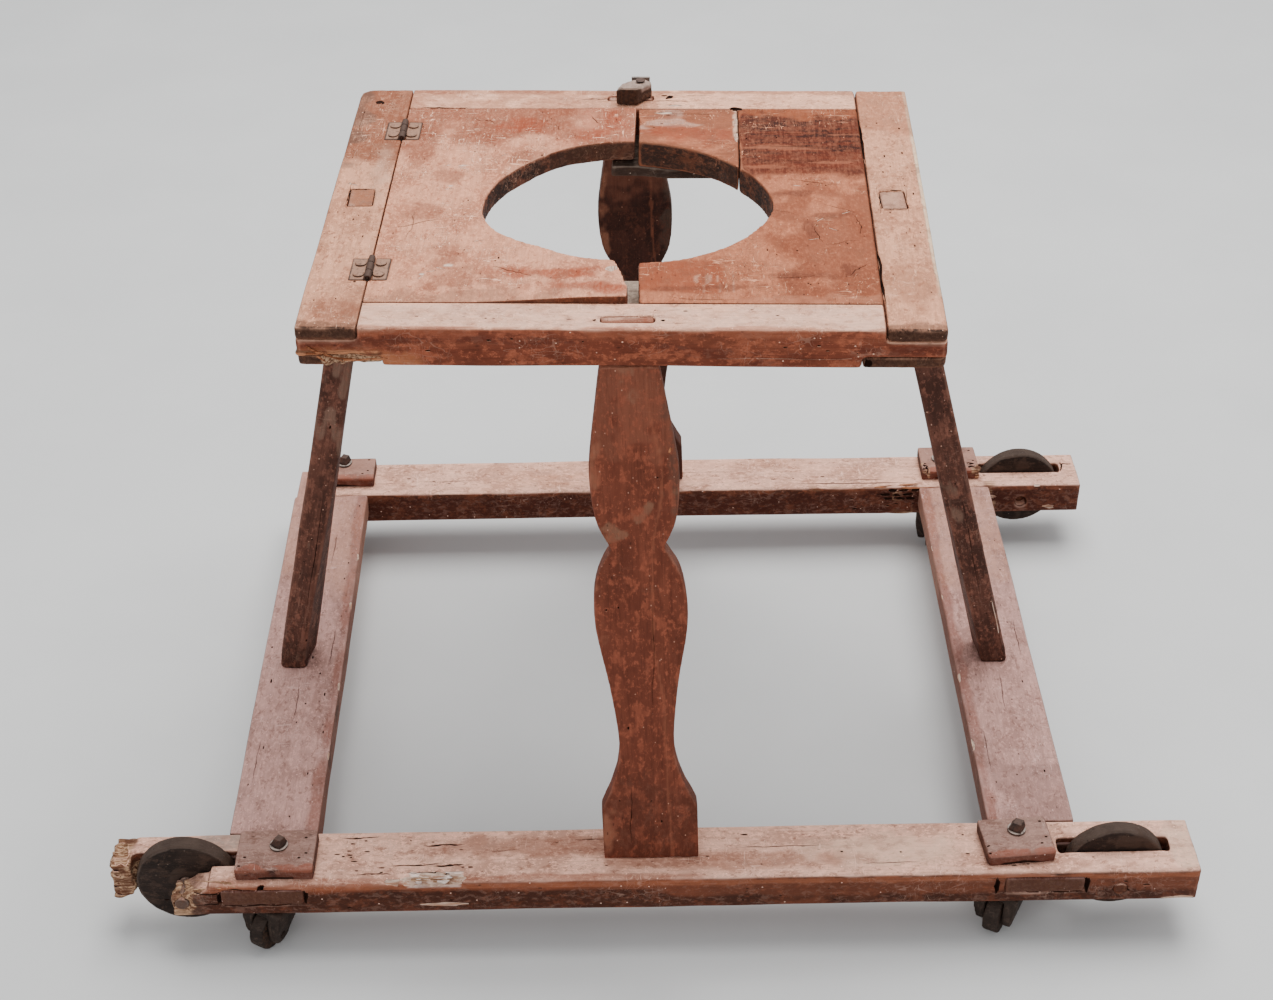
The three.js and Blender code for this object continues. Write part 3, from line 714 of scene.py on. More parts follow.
def iron(name, dark, pale, rust):
    """Hand-forged iron, pitted and browned, with a pale upper side: a dusting on most irons, and a painted
    highlight on the rove.
    """
    p = Paint(name)
    grain = p.attribute("grain", "Vector")
    pits = p.noise(p.scaled(grain, (420, 420, 420)), 5.0, 0.7)
    cloud = p.noise(p.scaled(grain, (110, 110, 110)), 4.0, 0.6)
    colour = p.mix(p.step(cloud, 0.4, 0.62), dark, rust)
    # The pale upper side and paler edges: a dusting on most irons; on the rove, a painted highlight.
    colour = p.mix(p.times(p.step(p.attribute("up"), 0.4, 0.95), 0.8), colour, pale)
    colour = p.mix(p.times(p.step(pits, 0.5, 0.68), 0.75), colour, shade(dark, 0.6))
    colour = p.mix(p.times(p.step(p.attribute("edge"), 0.3, 0.9), 0.5), colour, shade(pale, 1.2))
    colour = p.mix(p.attribute("stain", "Alpha"), colour, p.attribute("stain", "Color"))
    p.bump(pits, 0.5)
    return p.finish(colour, p.math("ADD", 0.5, p.times(cloud, 0.3)), metallic=0.15, specular=0.35)


def hollow():
    """The inside of cracks and worm holes: dark, dirty wood."""
    p = Paint("hollow")
    grain = p.attribute("grain", "Vector")
    dirt = p.noise(p.scaled(grain, (300, 300, 300)), 4.0, 0.6)
    p.bump(dirt, 0.5)
    return p.finish(p.mix(dirt, srgb(22, 12, 8), srgb(60, 36, 26)), 0.9, specular=0.1)


def bare(name, pale, deep):
    """Newly broken wood, with its fibres showing."""
    p = Paint(name)
    grain = p.attribute("grain", "Vector")
    fibres = p.noise(p.scaled(grain, (40, 700, 700)), 4.0, 0.7)
    clouds = p.noise(p.scaled(grain, (90, 140, 140)), 4.0, 0.6)
    colour = p.mix(p.step(fibres, 0.42, 0.62), pale, deep)
    colour = p.mix(p.times(p.step(clouds, 0.5, 0.64), 0.6), colour, shade(deep, 0.6))
    p.bump(p.math("ADD", fibres, clouds), 0.8)
    return p.finish(colour, 0.85, specular=0.15)


HOLLOW = hollow()
BROKEN_PALE = bare("broken_pale", srgb(232, 204, 184), srgb(188, 140, 114))
BROKEN_STRAW = bare("broken_straw", STRAW, STRAW_DARK)
BROKEN_ORANGE = bare("broken_orange", ORANGE, srgb(128, 70, 42))
# Each wood's third colour is its top: a dusting with a painted sheen of reflected sky.
RAIL_WOOD = wood("rail_wood", srgb(92, 47, 30), srgb(124, 68, 46), srgb(255, 210, 188))
BOARD_WOOD = wood("board_wood", srgb(88, 56, 44), srgb(118, 82, 68), srgb(215, 176, 166), mottled=0.55)
BLOCK_WOOD = wood("block_wood", srgb(84, 48, 38), srgb(118, 78, 64), srgb(184, 152, 140), mottled=0.8)
SPLAT_WOOD = wood(
    "splat_wood", srgb(112, 56, 39), srgb(132, 70, 50), srgb(190, 140, 118), mottled=0.3, scratched=0.15)
SHADED_SPLAT = wood("shaded_splat", srgb(60, 28, 18), srgb(74, 38, 26), srgb(150, 106, 86), scratched=0.1)
POST_WOOD = wood("post_wood", srgb(88, 53, 42), srgb(114, 72, 58), srgb(206, 162, 140))
TRAY_WOOD = wood(
    "tray_wood", srgb(122, 60, 41), srgb(146, 80, 56), srgb(255, 206, 178), mottled=0.4, broken=ORANGE)
STILE_WOOD = wood("stile_wood", srgb(90, 50, 34), srgb(140, 84, 58), srgb(238, 184, 154), mottled=0.65)
LEAF_WOOD = wood(
    "leaf_wood", srgb(108, 60, 42), srgb(160, 92, 66), srgb(240, 182, 152), mottled=0.85, scratched=0.9)
RIGHT_LEAF_WOOD = wood(
    "right_leaf_wood", srgb(104, 58, 40), srgb(150, 86, 58), srgb(206, 142, 110), mottled=0.85,
    scratched=0.9)
CLEAT_WOOD = wood("cleat_wood", srgb(56, 38, 29), srgb(84, 60, 47), srgb(190, 170, 154))
WHEEL_WOOD = wood("wheel_wood", srgb(44, 32, 27), srgb(60, 45, 37), srgb(106, 90, 80), dust_and_sheen_share=0.8)
CASTER_WOOD = wood("caster_wood", srgb(48, 37, 31), srgb(62, 49, 42), srgb(92, 78, 70), dust_and_sheen_share=0.6)
BUTTON_WOOD = wood("button_wood", srgb(66, 47, 37), srgb(88, 65, 52), srgb(158, 134, 120), dust_and_sheen_share=0.85)
HINGE_IRON = iron("hinge_iron", srgb(92, 68, 56), srgb(172, 130, 106), srgb(120, 84, 66))
PIN_IRON = iron("pin_iron", srgb(52, 38, 32), srgb(92, 70, 60), srgb(84, 54, 42))
# The rove's pale colour, on its top and edges, is a painted highlight: the crescent of light on its front
# rim.
ROVE_IRON = iron("rove_iron", srgb(52, 38, 32), srgb(190, 172, 160), srgb(86, 56, 42))
STRAP_IRON = iron("strap_iron", srgb(112, 102, 96), srgb(186, 174, 166), srgb(130, 112, 100))

# ---- Places of the pieces ----

RAIL_LOW, RAIL_HIGH = box_mm("base_front_rail")
BACK_LOW, BACK_HIGH = box_mm("base_back_rail")
DECK = RAIL_HIGH.z
FRONT = RAIL_LOW.y
WORLD = Matrix.Identity(4)
TENON_THICK = 13.5  # of the tenons on the side boards' ends
TRAY_LOW, TRAY_HIGH = box_of("tray_left_stile", "tray_right_stile", "tray_front_rail", "tray_back_rail")


def tray_frame():
    """The tray's own frame: X across it, Y back, and its origin on top, in the middle."""
    back = -Vector(joint("left_leaf_hinge")["axis"])
    turn = Matrix((back.cross(Vector(UP)), back, Vector(UP))).transposed()
    centre = (TRAY_LOW + TRAY_HIGH) / 2
    return Matrix.Translation((centre.x, centre.y, TRAY_HIGH.z)) @ turn.to_4x4()


TRAY = tray_frame()


def box_in(place, node):
    """A node's lowest and highest corner in a frame, in mm."""
    mesh = frame["nodes"][node].data.copy()
    mesh.transform(place.inverted())
    co = points_of(mesh) / MM
    return co.min(0), co.max(0)


# ---- Base rails ----

# Cracks on top of the rails: where they start and end along the rail, how far back, and how wide
FRONT_RAIL_CRACKS = [
    (-226, -198, 46, 0.9), (-166, -136, 37, 1.2), (-190, -150, 17, 0.8), (-158, -136, 16, 1.3),
    (-214, -186, 8, 0.7), (-60, -20, 40, 0.5), (60, 120, 30, 0.5), (150, 190, 12, 0.5),
    (-118, -96, 30, 0.5),
]
BACK_RAIL_CRACKS = [(132, 236, 7, 1.4), (170, 216, 12, 0.8), (-200, -150, 20, 0.5), (30, 80, 28, 0.5)]
# Worm slits beside the front left block: along the rail, how far back, and length over width
WORM_SLITS = [
    (-296, 41, 4), (-288, 46, 3), (-217, 40, 3), (-209, 43, 2), (-219, 33, 3), (-218, 29, 3),
    (-216, 22, 4), (-213, 13, 2), (-160, 41, 2), (-131, 15, 3), (-177, 43, 1), (-147, 8, 3),
]


def rail_shape(low, high, front_radius, back_radius):
    """Rounds a rail's long arrises, the upper front one most."""
    def shape(co):
        worn = 1 + 0.4 * noise(co, (60, 30, 30), 5, 2)
        top, bottom = (2, high.z, -1), (2, low.z, 1)
        co = round_over(co, (1, low.y, 1), top, front_radius(co[:, 0] / MM) * worn)
        co = round_over(co, (1, high.y, -1), top, back_radius * worn)
        co = round_over(co, (1, low.y, 1), bottom, 2.0 * worn)
        co = round_over(co, (1, high.y, -1), bottom, 2.0 * worn)
        co = round_over(co, (0, high.x, -1), top, 2.5 * worn)
        return round_over(co, (0, high.x, -1), (1, low.y, 1), 2.5 * worn)
    return shape


def front_rail_raw(co):
    """Broken wood: the torn tip, its sides, and the end of the cheek in front of the wheel."""
    x, y, z = (co / MM).T
    wheel_front = box_mm("front_left_slot_wheel")[0].y
    tip = ease(-x + 4 * noise(co, 12, 71, 2), 372, 381)
    cheek_end = ease(-x + 10 * noise(co, 10, 72, 2), 322, 334) * (y < wheel_front)
    cheek_end = cheek_end * ease(noise(co, (26, 7, 7), 76, 2), -0.35, 0.15)
    side = ease(-x, 350, 362) * ease(DECK - z + 3 * noise(co, 8, 73), 6, 10)
    return np.clip(tip + cheek_end + side, 0, 1)


def front_rail_radius(x):
    """The upper front arris is worn most near the split and at the right."""
    return 2.2 + 4.0 * ease(-x, 150, 200) * ease(x, -330, -300) + 2.5 * ease(x, 200, 260)


def front_rail_stain(co):
    x, y, z = (co / MM).T
    s = Stains(co, 200)
    s.zone(srgb(146, 78, 52), ease(FRONT + 9 - y, 0, 6) * ease(-x, -90, 0), 0.5, 1.0, 30)
    chip = ease(x, -178, -172) * ease(-x, 134, 140) * (y < FRONT + 10) * (z > DECK - 5)
    s.zone(srgb(255, 236, 224), chip, 0.98, 0.45, 7)
    s.blot(srgb(240, 206, 184), (160, -232), (110, 34), 0.7)
    s.blot(srgb(152, 98, 76), (-90, -222), (140, 22), 0.6)
    s.blot(srgb(160, 108, 86), (60, -240), (160, 20), 0.6)
    s.blot(srgb(176, 160, 150), (-306, -212), (40, 18), 0.8)
    s.blot(srgb(228, 200, 180), (382, -228), (26, 60), 0.6)
    face = ease(FRONT + 3 - y, 0, 2)
    low_left = ease(DECK - z, 6, 12) * ease(-x, -60, 60) + ease(DECK - z, 12, 22) * 0.7
    s.zone(srgb(112, 62, 43), face * ease(DECK - z, 3, 6) * ease(x, -120, 100), 0.7, 0.5, 30)
    s.zone(srgb(52, 24, 13), face * low_left, 0.85, 0.5, 34)
    s.zone(srgb(176, 104, 72), face * ease(DECK - z, 1, 3) * ease(z, DECK - 8, DECK - 6), 0.5, 0.9)
    s.zone(srgb(84, 60, 48), ease(-x, 318, 330) * (y < FRONT + 30) * (x > -350), 0.7, 0.9, 7)
    return s.rgba()


def tenon_gaps(dark):
    """Gaps round the side boards' tenons, where they come through the front rail's front face."""
    for node in ("base_left_board", "base_right_board"):
        low, high = box_mm(node)
        left_end, right_end = low.x - 0.5, high.x + (-5 if "left" in node else 1)
        above, below = low.z + TENON_THICK + 0.9, low.z - 0.6
        for x in (left_end, right_end):
            dark.lump((x, FRONT, low.z + 7), (4.2, 10, 15), rough=0.35)
        dark.crack((left_end - 8, FRONT, above), (right_end - 14, FRONT, above - 0.4), 1.5, 5, up=OUTWARD)
        dark.crack((left_end, FRONT, below), (right_end + 2, FRONT, below + 0.2), 0.9, 4, up=OUTWARD)


def front_rail_hollows():
    dark = Shapes(HOLLOW, 301)
    for x0, x1, back, width in FRONT_RAIL_CRACKS:
        dark.crack((x0, FRONT + back, DECK), (x1, FRONT + back + 1, DECK), 1.7 * width, 6)
    for x, back, length in WORM_SLITS:
        dark.hole((x, FRONT + back, DECK), 0.7, 4, length=length)
    dark.holes(34, (-300, FRONT + 8), (380, FRONT + 50), DECK)
    dark.holes(16, (-310, DECK - 24), (385, DECK - 6), FRONT, up=OUTWARD)
    dark.holes(
        8, (FRONT + 6, DECK - 24), (FRONT + 46, DECK - 6), RAIL_HIGH.x, up=(1, 0, 0), along=(0, 1, 0))
    tenon_gaps(dark)
    # Splits in the cheek beside the front left wheel, and its ragged end
    dark.crack((-338, FRONT, DECK - 7), (-262, FRONT, DECK - 5), 1.6, 6, up=OUTWARD, wander=1.2)
    dark.crack((-330, FRONT, DECK - 20), (-286, FRONT, DECK - 18), 1.4, 6, up=OUTWARD, wander=1.2)
    wheel_right = box_mm("front_left_slot_wheel")[1].x
    dark.lump((wheel_right + 22, FRONT + 1, DECK - 4), (5, 7, 6), rough=0.35)
    # Worm-eaten galleries in the broken tip
    for x, z, width in ((-388, 60, 16), (-386, 53, 12), (-389, 46, 15), (-386, 39, 10)):
        dark.lump((x, -224, z), (width, 34, 1.9), turn=0.1, rough=0.5)
    # The rim of the split on the front arris
    dark.crack((-180, FRONT + 9.5, DECK), (-150, FRONT + 10.5, DECK), 1.1, 2.5, wander=0.9)
    dark.crack((-150, FRONT + 10, DECK), (-134, FRONT + 3, DECK), 1.0, 2.5, wander=0.9)
    return dark


def front_rail_chips():
    """Fresh pale chips on the front arris and face, and straw-coloured wood in the broken tip."""
    pale = Shapes(BROKEN_PALE, 302)
    for x, width, deep in ((-172, 16, 10), (-158, 24, 16), (-145, 20, 12), (-186, 14, 5)):
        pale.lump((x, FRONT + 2, DECK), (width, deep, 8), rough=0.3)
    pale.lump((-150, FRONT, DECK - 22), (36, 2.2, 4), rough=0.3)
    pale.lump((RAIL_HIGH.x - 12, FRONT, DECK - 28), (26, 3, 5), rough=0.3)
    straw = Shapes(BROKEN_STRAW, 303)
    for x, z, width in ((-388, 58, 9), (-389, 50, 7), (-388, 43, 8), (-384, 66, 12), (-390, 37, 10)):
        straw.lump((x, -222, z), (width, 30, 4.5), turn=0.2, rough=0.35)
    return pale, straw


def front_rail_splinters():
    tufts = Shapes(BROKEN_STRAW, 304)
    left, right = (-1, 0, 0), (1, 0, 0)
    tufts.slivers(14, (-330, FRONT + 2, 40), (-316, FRONT + 20, 56), left, (8, 18), (0.8, 2.0), 0.1)
    tufts.slivers(
        12, (-318, FRONT + 1, 58), (-296, FRONT + 8, 65), (-1, -0.05, 0.05), (8, 20), (0.8, 1.8), 0.1)
    tufts.slivers(18, (-384, -234, 38), (-378, -208, 64), left, (5, 11), (1.2, 3.0), 0.15)
    tufts.slivers(
        10, (-176, FRONT + 1, DECK - 1), (-140, FRONT + 5, DECK), right, (8, 20), (0.6, 1.4), 0.06)
    extra("front_rail_splinters", tufts, WORLD, "X", "root", 305)


def front_rail():
    cuts = (front_rail_hollows(), *front_rail_chips())
    rebuild("base_front_rail", WORLD, "X", "root", RAIL_WOOD, 11, raw=front_rail_raw, tear=2.4,
            shape=rail_shape(RAIL_LOW, RAIL_HIGH, front_rail_radius, 2.0), stain=front_rail_stain,
            cuts=cuts)
    front_rail_splinters()


def back_rail_raw(co):
    """Rotted wood at the right, a chipped upper arris beside it, and the broken left end."""
    x, y, z = (co / MM).T
    in_front = BACK_LOW.y - y
    gnarl = ease(x, 214, 226) * ease(-x, -246, -240) * ease(in_front + 8, 0, 5)
    lip = ease(x, 130, 150) * ease(-x, -262, -250) * ease(in_front + 7, 0, 3) * ease(z, DECK - 5, DECK - 2)
    corner = ease(x, 300, 306) * ease(-x, -322, -312) * ease(in_front + 12, 0, 6)
    left = ease(-x + 6 * noise(co, 8, 74, 2), 286, 292)
    worn = np.clip(0.5 * gnarl + 0.45 * lip + 0.5 * corner, 0, 0.55) * ease(noise(co, 9, 75, 2), -0.3, 0.3)
    return np.clip(worn + left, 0, 1)


def back_rail_stain(co):
    _, y, z = (co / MM).T
    s = Stains(co, 210)
    s.blot(srgb(228, 164, 128), (-120, 246), (340, 60), 0.75)
    s.blot(srgb(220, 154, 118), (130, 246), (300, 60), 0.75)
    s.blot(srgb(186, 150, 134), (350, 246), (80, 50), 0.5)
    s.zone(srgb(66, 23, 10), ease(BACK_LOW.y + 4 - y, 0, 3) * ease(DECK - z, 2, 7), 0.9, 0.3, 40)
    return s.rgba()


def back_rail_hollows():
    front = BACK_LOW.y
    dark = Shapes(HOLLOW, 311)
    for x0, x1, back, width in BACK_RAIL_CRACKS:
        dark.crack((x0, front + back, DECK), (x1, front + back, DECK), width, 6)
    slot_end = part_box("back_right_slot_wheel")[1].x / MM
    dark.crack((slot_end + 1, front + 33, DECK), (slot_end + 13, front + 32, DECK), 1.6, 6)
    dark.crack((slot_end + 2, front + 20, DECK), (slot_end + 3, front + 36, DECK), 1.8, 6)
    dark.holes(26, (-280, front + 6), (380, front + 44), DECK)
    dark.holes(18, (180, DECK - 24), (330, DECK - 5), front, up=OUTWARD)
    dark.holes(10, (-280, DECK - 24), (380, DECK - 5), BACK_HIGH.y, up=(0, 1, 0))
    # A row of small pits in the rot
    for k in range(9):
        dark.lump((216 + 3.4 * k, front, DECK - 8 - 5 * math.sin(2.1 * k)), (9, 4, 3.2), rough=0.35)
    return dark


def back_rail_splinters():
    tufts = Shapes(BROKEN_ORANGE, 313)
    front = BACK_LOW.y
    tufts.slivers(
        14, (140, front, DECK - 2), (240, front + 6, DECK), (1, 0, 0), (12, 34), (0.8, 2), 0.04)
    tufts.slivers(
        10, (-294, front + 4, 40), (-288, BACK_HIGH.y - 4, 62), (-1, 0, 0), (4, 9), (1, 2.6), 0.2)
    extra("back_rail_splinters", tufts, WORLD, "X", "root", 314)


def back_rail():
    pale = Shapes(BROKEN_PALE, 312)
    for x, z, width in ((352, DECK, 9), (364, DECK - 24, 10), (312, DECK - 12, 7)):
        pale.lump((x, BACK_LOW.y, z), (width, 3, 4), rough=0.35)
    shape = rail_shape(BACK_LOW, BACK_HIGH, lambda x: 2.2 + 0 * x, 2.5)
    rebuild("base_back_rail", WORLD, "X", "root", RAIL_WOOD, 12, raw=back_rail_raw, tear=2.0,
            shape=shape, stain=back_rail_stain, cuts=(back_rail_hollows(), pale))
    back_rail_splinters()


# ---- Side boards ----

def side_board(side, seed):
    node = f"base_{side}_board"
    low, high = box_mm(node)
    tenon_top = low.z + TENON_THICK

    def shape(co):
        worn = 2.0 + 1.2 * noise(co, (40, 90, 40), seed, 2)
        top, bottom = (2, high.z, -1), (2, low.z, 1)
        for face in ((0, low.x, 1), (0, high.x, -1)):
            co = round_over(co, face, top, worn)
            co = round_over(co, face, bottom, worn)
        return co

    def stain(co):
        x, y, z = (co / MM).T
        s = Stains(co, seed)
        s.zone(srgb(206, 160, 136), ease(y, 40, 150), 0.45, 0.8, 50)
        inner = ease(x, high.x - 12, high.x - 4) if side == "left" else ease(-x, -low.x - 12, -low.x - 4)
        s.zone(srgb(150, 92, 74), inner, 0.5, 0.8, 30)
        grey = ease(-y, 60, 140) * ease(noise(co, 40, seed + 3, 2), 0, 0.4)
        s.zone(srgb(146, 118, 110), grey, 0.4, 0.3, 30)
        s.zone(srgb(104, 56, 38), ease(-y, 249, 253) * (z < tenon_top + 1), 0.9, 0.3)
        return s.rgba()

    dark = Shapes(HOLLOW, seed + 300)
    dark.holes(22, (low.x + 5, -195), (high.x - 5, 215), high.z, along=(0, 1, 0))
    for k in range(5):
        x = low.x + 10 + 11 * k
        y = -150 + 67 * ((k * 3) % 5)
        dark.crack((x, y, high.z), (x + 1, y + 46, high.z), 0.55, 4)
    pale = Shapes(BROKEN_PALE, seed + 301)
    for y in (-120, -40, 62, 130):
        pale.lump((high.x if side == "left" else low.x, y, high.z), (3.6, 13, 3.4), rough=0.35)
    rebuild(node, WORLD, "Y", "root", BOARD_WOOD, seed, shape=shape, stain=stain,
            wobble=0.5, cuts=(dark, pale))


# ---- Corner blocks, casters and slot wheels ----

CORNERS = ("front_left", "front_right", "back_left", "back_right")


def block_frame(corner):
    """A corner block's frame: turned with the block, with its origin in the middle of its top."""
    turn = 5 if corner == "front_right" else 0
    low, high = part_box(f"{corner}_corner_block")
    centre = (low + high) / 2
    return Matrix.Translation((centre.x, centre.y, high.z)) @ Matrix.Rotation(math.radians(turn), 4, "Z")


def corner_block(corner, seed):
    node = f"{corner}_corner_block"
    place = block_frame(corner)
    low, high = box_in(place, node)
    radius = 4.0 if corner == "front_right" else 2.0

    def shape(co):
        worn = radius * (1 + 0.35 * noise(co, 20, seed, 2))
        faces = ((0, low[0], 1), (0, high[0], -1), (1, low[1], 1), (1, high[1], -1))
        for k, face in enumerate(faces):
            co = round_over(co, face, (2, high[2], -1), worn * (1.4 if k == 2 else 0.8))
        for first in faces[:2]:
            for second in faces[2:]:
                co = round_over(co, first, second, worn)
        return co

    def raw(co):
        if corner != "back_right":
            return np.zeros(len(co))
        x, y, _ = (co / MM).T
        ends = ease(np.abs(x), 16, 22) * ease(-y, 4, 10)
        return ends * ease(noise(co, 6, seed + 9, 2), -0.2, 0.2)

    def stain(co):
        _, y, z = (co / MM).T
        s = Stains(co, seed)
        if corner.startswith("back"):
            s.zone(srgb(190, 150, 134), ease(z, -2, -0.5), 0.75, 0.5, 12)
        s.zone(srgb(168, 92, 68), ease(-y, -low[1] - 7, -low[1] - 3), 0.55, 0.8, 8)
        s.zone(srgb(70, 32, 22), ease(-z, 2.2, 3.4), 0.7, 0.4, 8)
        return s.rgba()

    dark = Shapes(HOLLOW, seed + 400)
    for x, y in ((-22, -8), (21, -4), (17, -9), (-24, -16), (20, 12)):
        dark.hole((x, y, high[2]), 0.9, 4, length=1.5)
    dark.lump((0, low[1] - 0.5, low[2] + 1), (high[0] * 1.1, 3.4, 5), rough=0.3)
    if corner == "back_right":
        for k in range(12):
            side = -1 if k % 2 else 1
            pit = (side * (18 + k % 5), -9 - k % 4 * 2.2, high[2] - 2.5 * (k % 3))
            dark.lump(pit, (6, 2.6, 3), 0.6 * k, 0.4)
    rebuild(node, place, "X", "root", BLOCK_WOOD, seed, 1.1, shape=shape, stain=stain,
            raw=raw, tear=1.6, cuts=(dark,))


def pintle(corner, seed):
    """The pintle's square end, hammered and leaning, above its rove, whose pale crescent in front is a
    painted highlight.
    """
    node = f"{corner}_caster_pintle"
    centre = middle(node)
    place = Matrix.Translation((centre.x, centre.y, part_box(node)[1].z))

    def shape(co):
        z = co[:, 2] / MM
        head = ease(z, -6.5, -5.5)
        taper = 1 - head * 0.38 * ease(z, -6.5, 0)
        lean = head * 0.9 * MM * ease(z, -6, 0)
        co = co.copy()
        co[:, 0] = co[:, 0] * taper + lean
        co[:, 1] = co[:, 1] * taper
        return co

    rebuild(node, place, "Z", f"{corner}_caster", PIN_IRON, seed, 0.8, passes=3, wobble=0.5,
            shape=shape)


def caster(corner, seed):
    swivel, wheel = f"{corner}_caster", f"{corner}_caster_wheel"
    rebuild(f"{corner}_caster_fork", WORLD, "Z", swivel, CASTER_WOOD, seed, 1.1)
    rebuild(wheel, WORLD, "X", wheel, CASTER_WOOD, seed + 10, 0.9, passes=4, wobble=0.12)
    rebuild(f"{corner}_caster_axle", WORLD, "Y", swivel, PIN_IRON, seed + 20, 0.6, passes=3,
            wobble=0.02, ridge=0.04)
    rebuild(f"{corner}_rove", WORLD, "X", "root", ROVE_IRON, seed + 30, 0.55, passes=2,
            wobble=0.15)
    pintle(corner, seed + 40)


def slot_wheel(corner, seed):
    wheel = f"{corner}_slot_wheel"
    low, high = box_mm(wheel)
    centre = (low + high) / 2

    def shape(co):
        """Rounds both rims."""
        away = np.hypot(co[:, 0] / MM - centre.x, co[:, 2] / MM - centre.z)
        radius = (high.x - low.x) / 2
        flat = np.column_stack([away * MM, co[:, 1], co[:, 2]])
        worn = 1.6 + 0.8 * noise(co, 16, seed, 2)
        for face in ((1, low.y, 1), (1, high.y, -1)):
            flat = round_over(flat, (0, radius, -1), face, worn)
        scale = flat[:, 0] / MM / np.maximum(away, 1e-6)
        return np.column_stack([
            (centre.x + (co[:, 0] / MM - centre.x) * scale) * MM,
            flat[:, 1],
            (centre.z + (co[:, 2] / MM - centre.z) * scale) * MM,
        ])

    def stain(co):
        x, _, z = (co / MM).T
        s = Stains(co, seed)
        away = np.hypot(x - centre.x, z - centre.z)
        s.zone(srgb(98, 82, 73), ease(away, 33.2, 35.4), 0.7, 0.5, 10)
        s.zone(srgb(84, 64, 53), ease(noise(co, 18, seed + 4, 3), 0.1, 0.7), 0.5, 0.3, 6)
        return s.rgba()

    def grey_end(co):
        s = Stains(co, seed + 3)
        s.zone(srgb(118, 104, 96), np.ones(len(co)), 0.9, 0.2)
        return s.rgba()

    dark = Shapes(HOLLOW, seed + 500)
    start, end = (centre.x - 24, low.y, centre.z + 6), (centre.x - 4, low.y, centre.z + 9)
    dark.crack(start, end, 0.5, 3, up=OUTWARD)
    reach = 22
    dark.holes(
        8, (centre.x - reach, centre.z - reach), (centre.x + reach, centre.z + reach), low.y, up=OUTWARD)
    rebuild(wheel, WORLD, "X", wheel, WHEEL_WOOD, seed, 1.2, passes=3, wobble=0.3,
            shape=shape, stain=stain, cuts=(dark,))
    rebuild(f"{corner}_slot_axle", WORLD, "Y", "root", RAIL_WOOD, seed + 10, 0.9, passes=3,
            wobble=0.15, stain=grey_end if corner == "front_left" else None)


# ---- Splats and posts ----

SPLAT_HALF = 7.5  # half a splat's thickness
POST_WIDTH = 21
POST_DEPTH = 28
STRUT_TENON = 32  # how much of a splat's or a post's upper end is inside the tray or just under it


def tight_tenon(co, top):
    """1 on a strut's body and 0 on its upper tenon, which stays true so that the joint is tight."""
    return ease(-co[:, 2] / MM, -(top - STRUT_TENON), -(top - STRUT_TENON - 4))


def splat(side, material, seed):
    node = f"{side}_splat"
    place = strut_frame(node)
    top = box_in(place, node)[1][2]

    def stain(co):
        x, y, z = (co / MM).T
        s = Stains(co, seed)
        pale_spots = ease(noise(co, (16, 16, 20), seed + 5, 3), 0.25, 0.75) * (z > 230)
        s.zone(srgb(150, 108, 84), pale_spots, 0.6, 0.3, 6)
        s.zone(srgb(150, 92, 70), ease(z, top - 110, top - 60), 0.35, 0.9, 14)
        s.zone(srgb(78, 38, 25), ease(-z, -130, -10), 0.6, 0.5, 16)
        s.zone(srgb(90, 74, 62), ease(x, 14, 30) * (z > 260), 0.45, 0.8, 12)
        left_arris = ease(np.abs(y), SPLAT_HALF - 1.5, SPLAT_HALF + 2) * ease(-x, 20, 28)
        s.zone(srgb(178, 116, 88), left_arris, 0.5, 0.6, 10)
        s.zone(srgb(214, 176, 156), ease(z, top - 1.5, top - 0.5), 0.9, 0.3, 8)
        streak = ease(1.6 - np.abs(x - 13 - 4 * noise(co, 60, seed + 8)), 0, 1.2)
        s.zone(srgb(160, 92, 66), streak, 0.45, 0.5, 9)
        return s.rgba()

    dark = Shapes(HOLLOW, seed + 600)
    dark.holes(9, (-24, 20), (24, 370), -SPLAT_HALF, up=OUTWARD, along=(0, 0, 1), length=(1, 2.2))
    dark.crack((6, -SPLAT_HALF, 120), (8, -SPLAT_HALF, 206), 0.5, 3, up=OUTWARD)
    dark.crack((-12, -SPLAT_HALF, 12), (-11, -SPLAT_HALF, 60), 0.6, 3, up=OUTWARD)
    pale = Shapes(BROKEN_ORANGE, seed + 601)
    pale.sliver((24, -SPLAT_HALF, 322), (-0.5, 0, -0.8), 9, 2.2, 1.4, up=OUTWARD)
    pale.lump((30, 0, 300), (2.5, 8, 9), rough=0.4)
    rebuild(node, place, "Z", "root", material, seed, 1.4, stain=stain, wobble=0.45, passes=5,
            guard=lambda co: tight_tenon(co, top), cuts=(dark, pale))


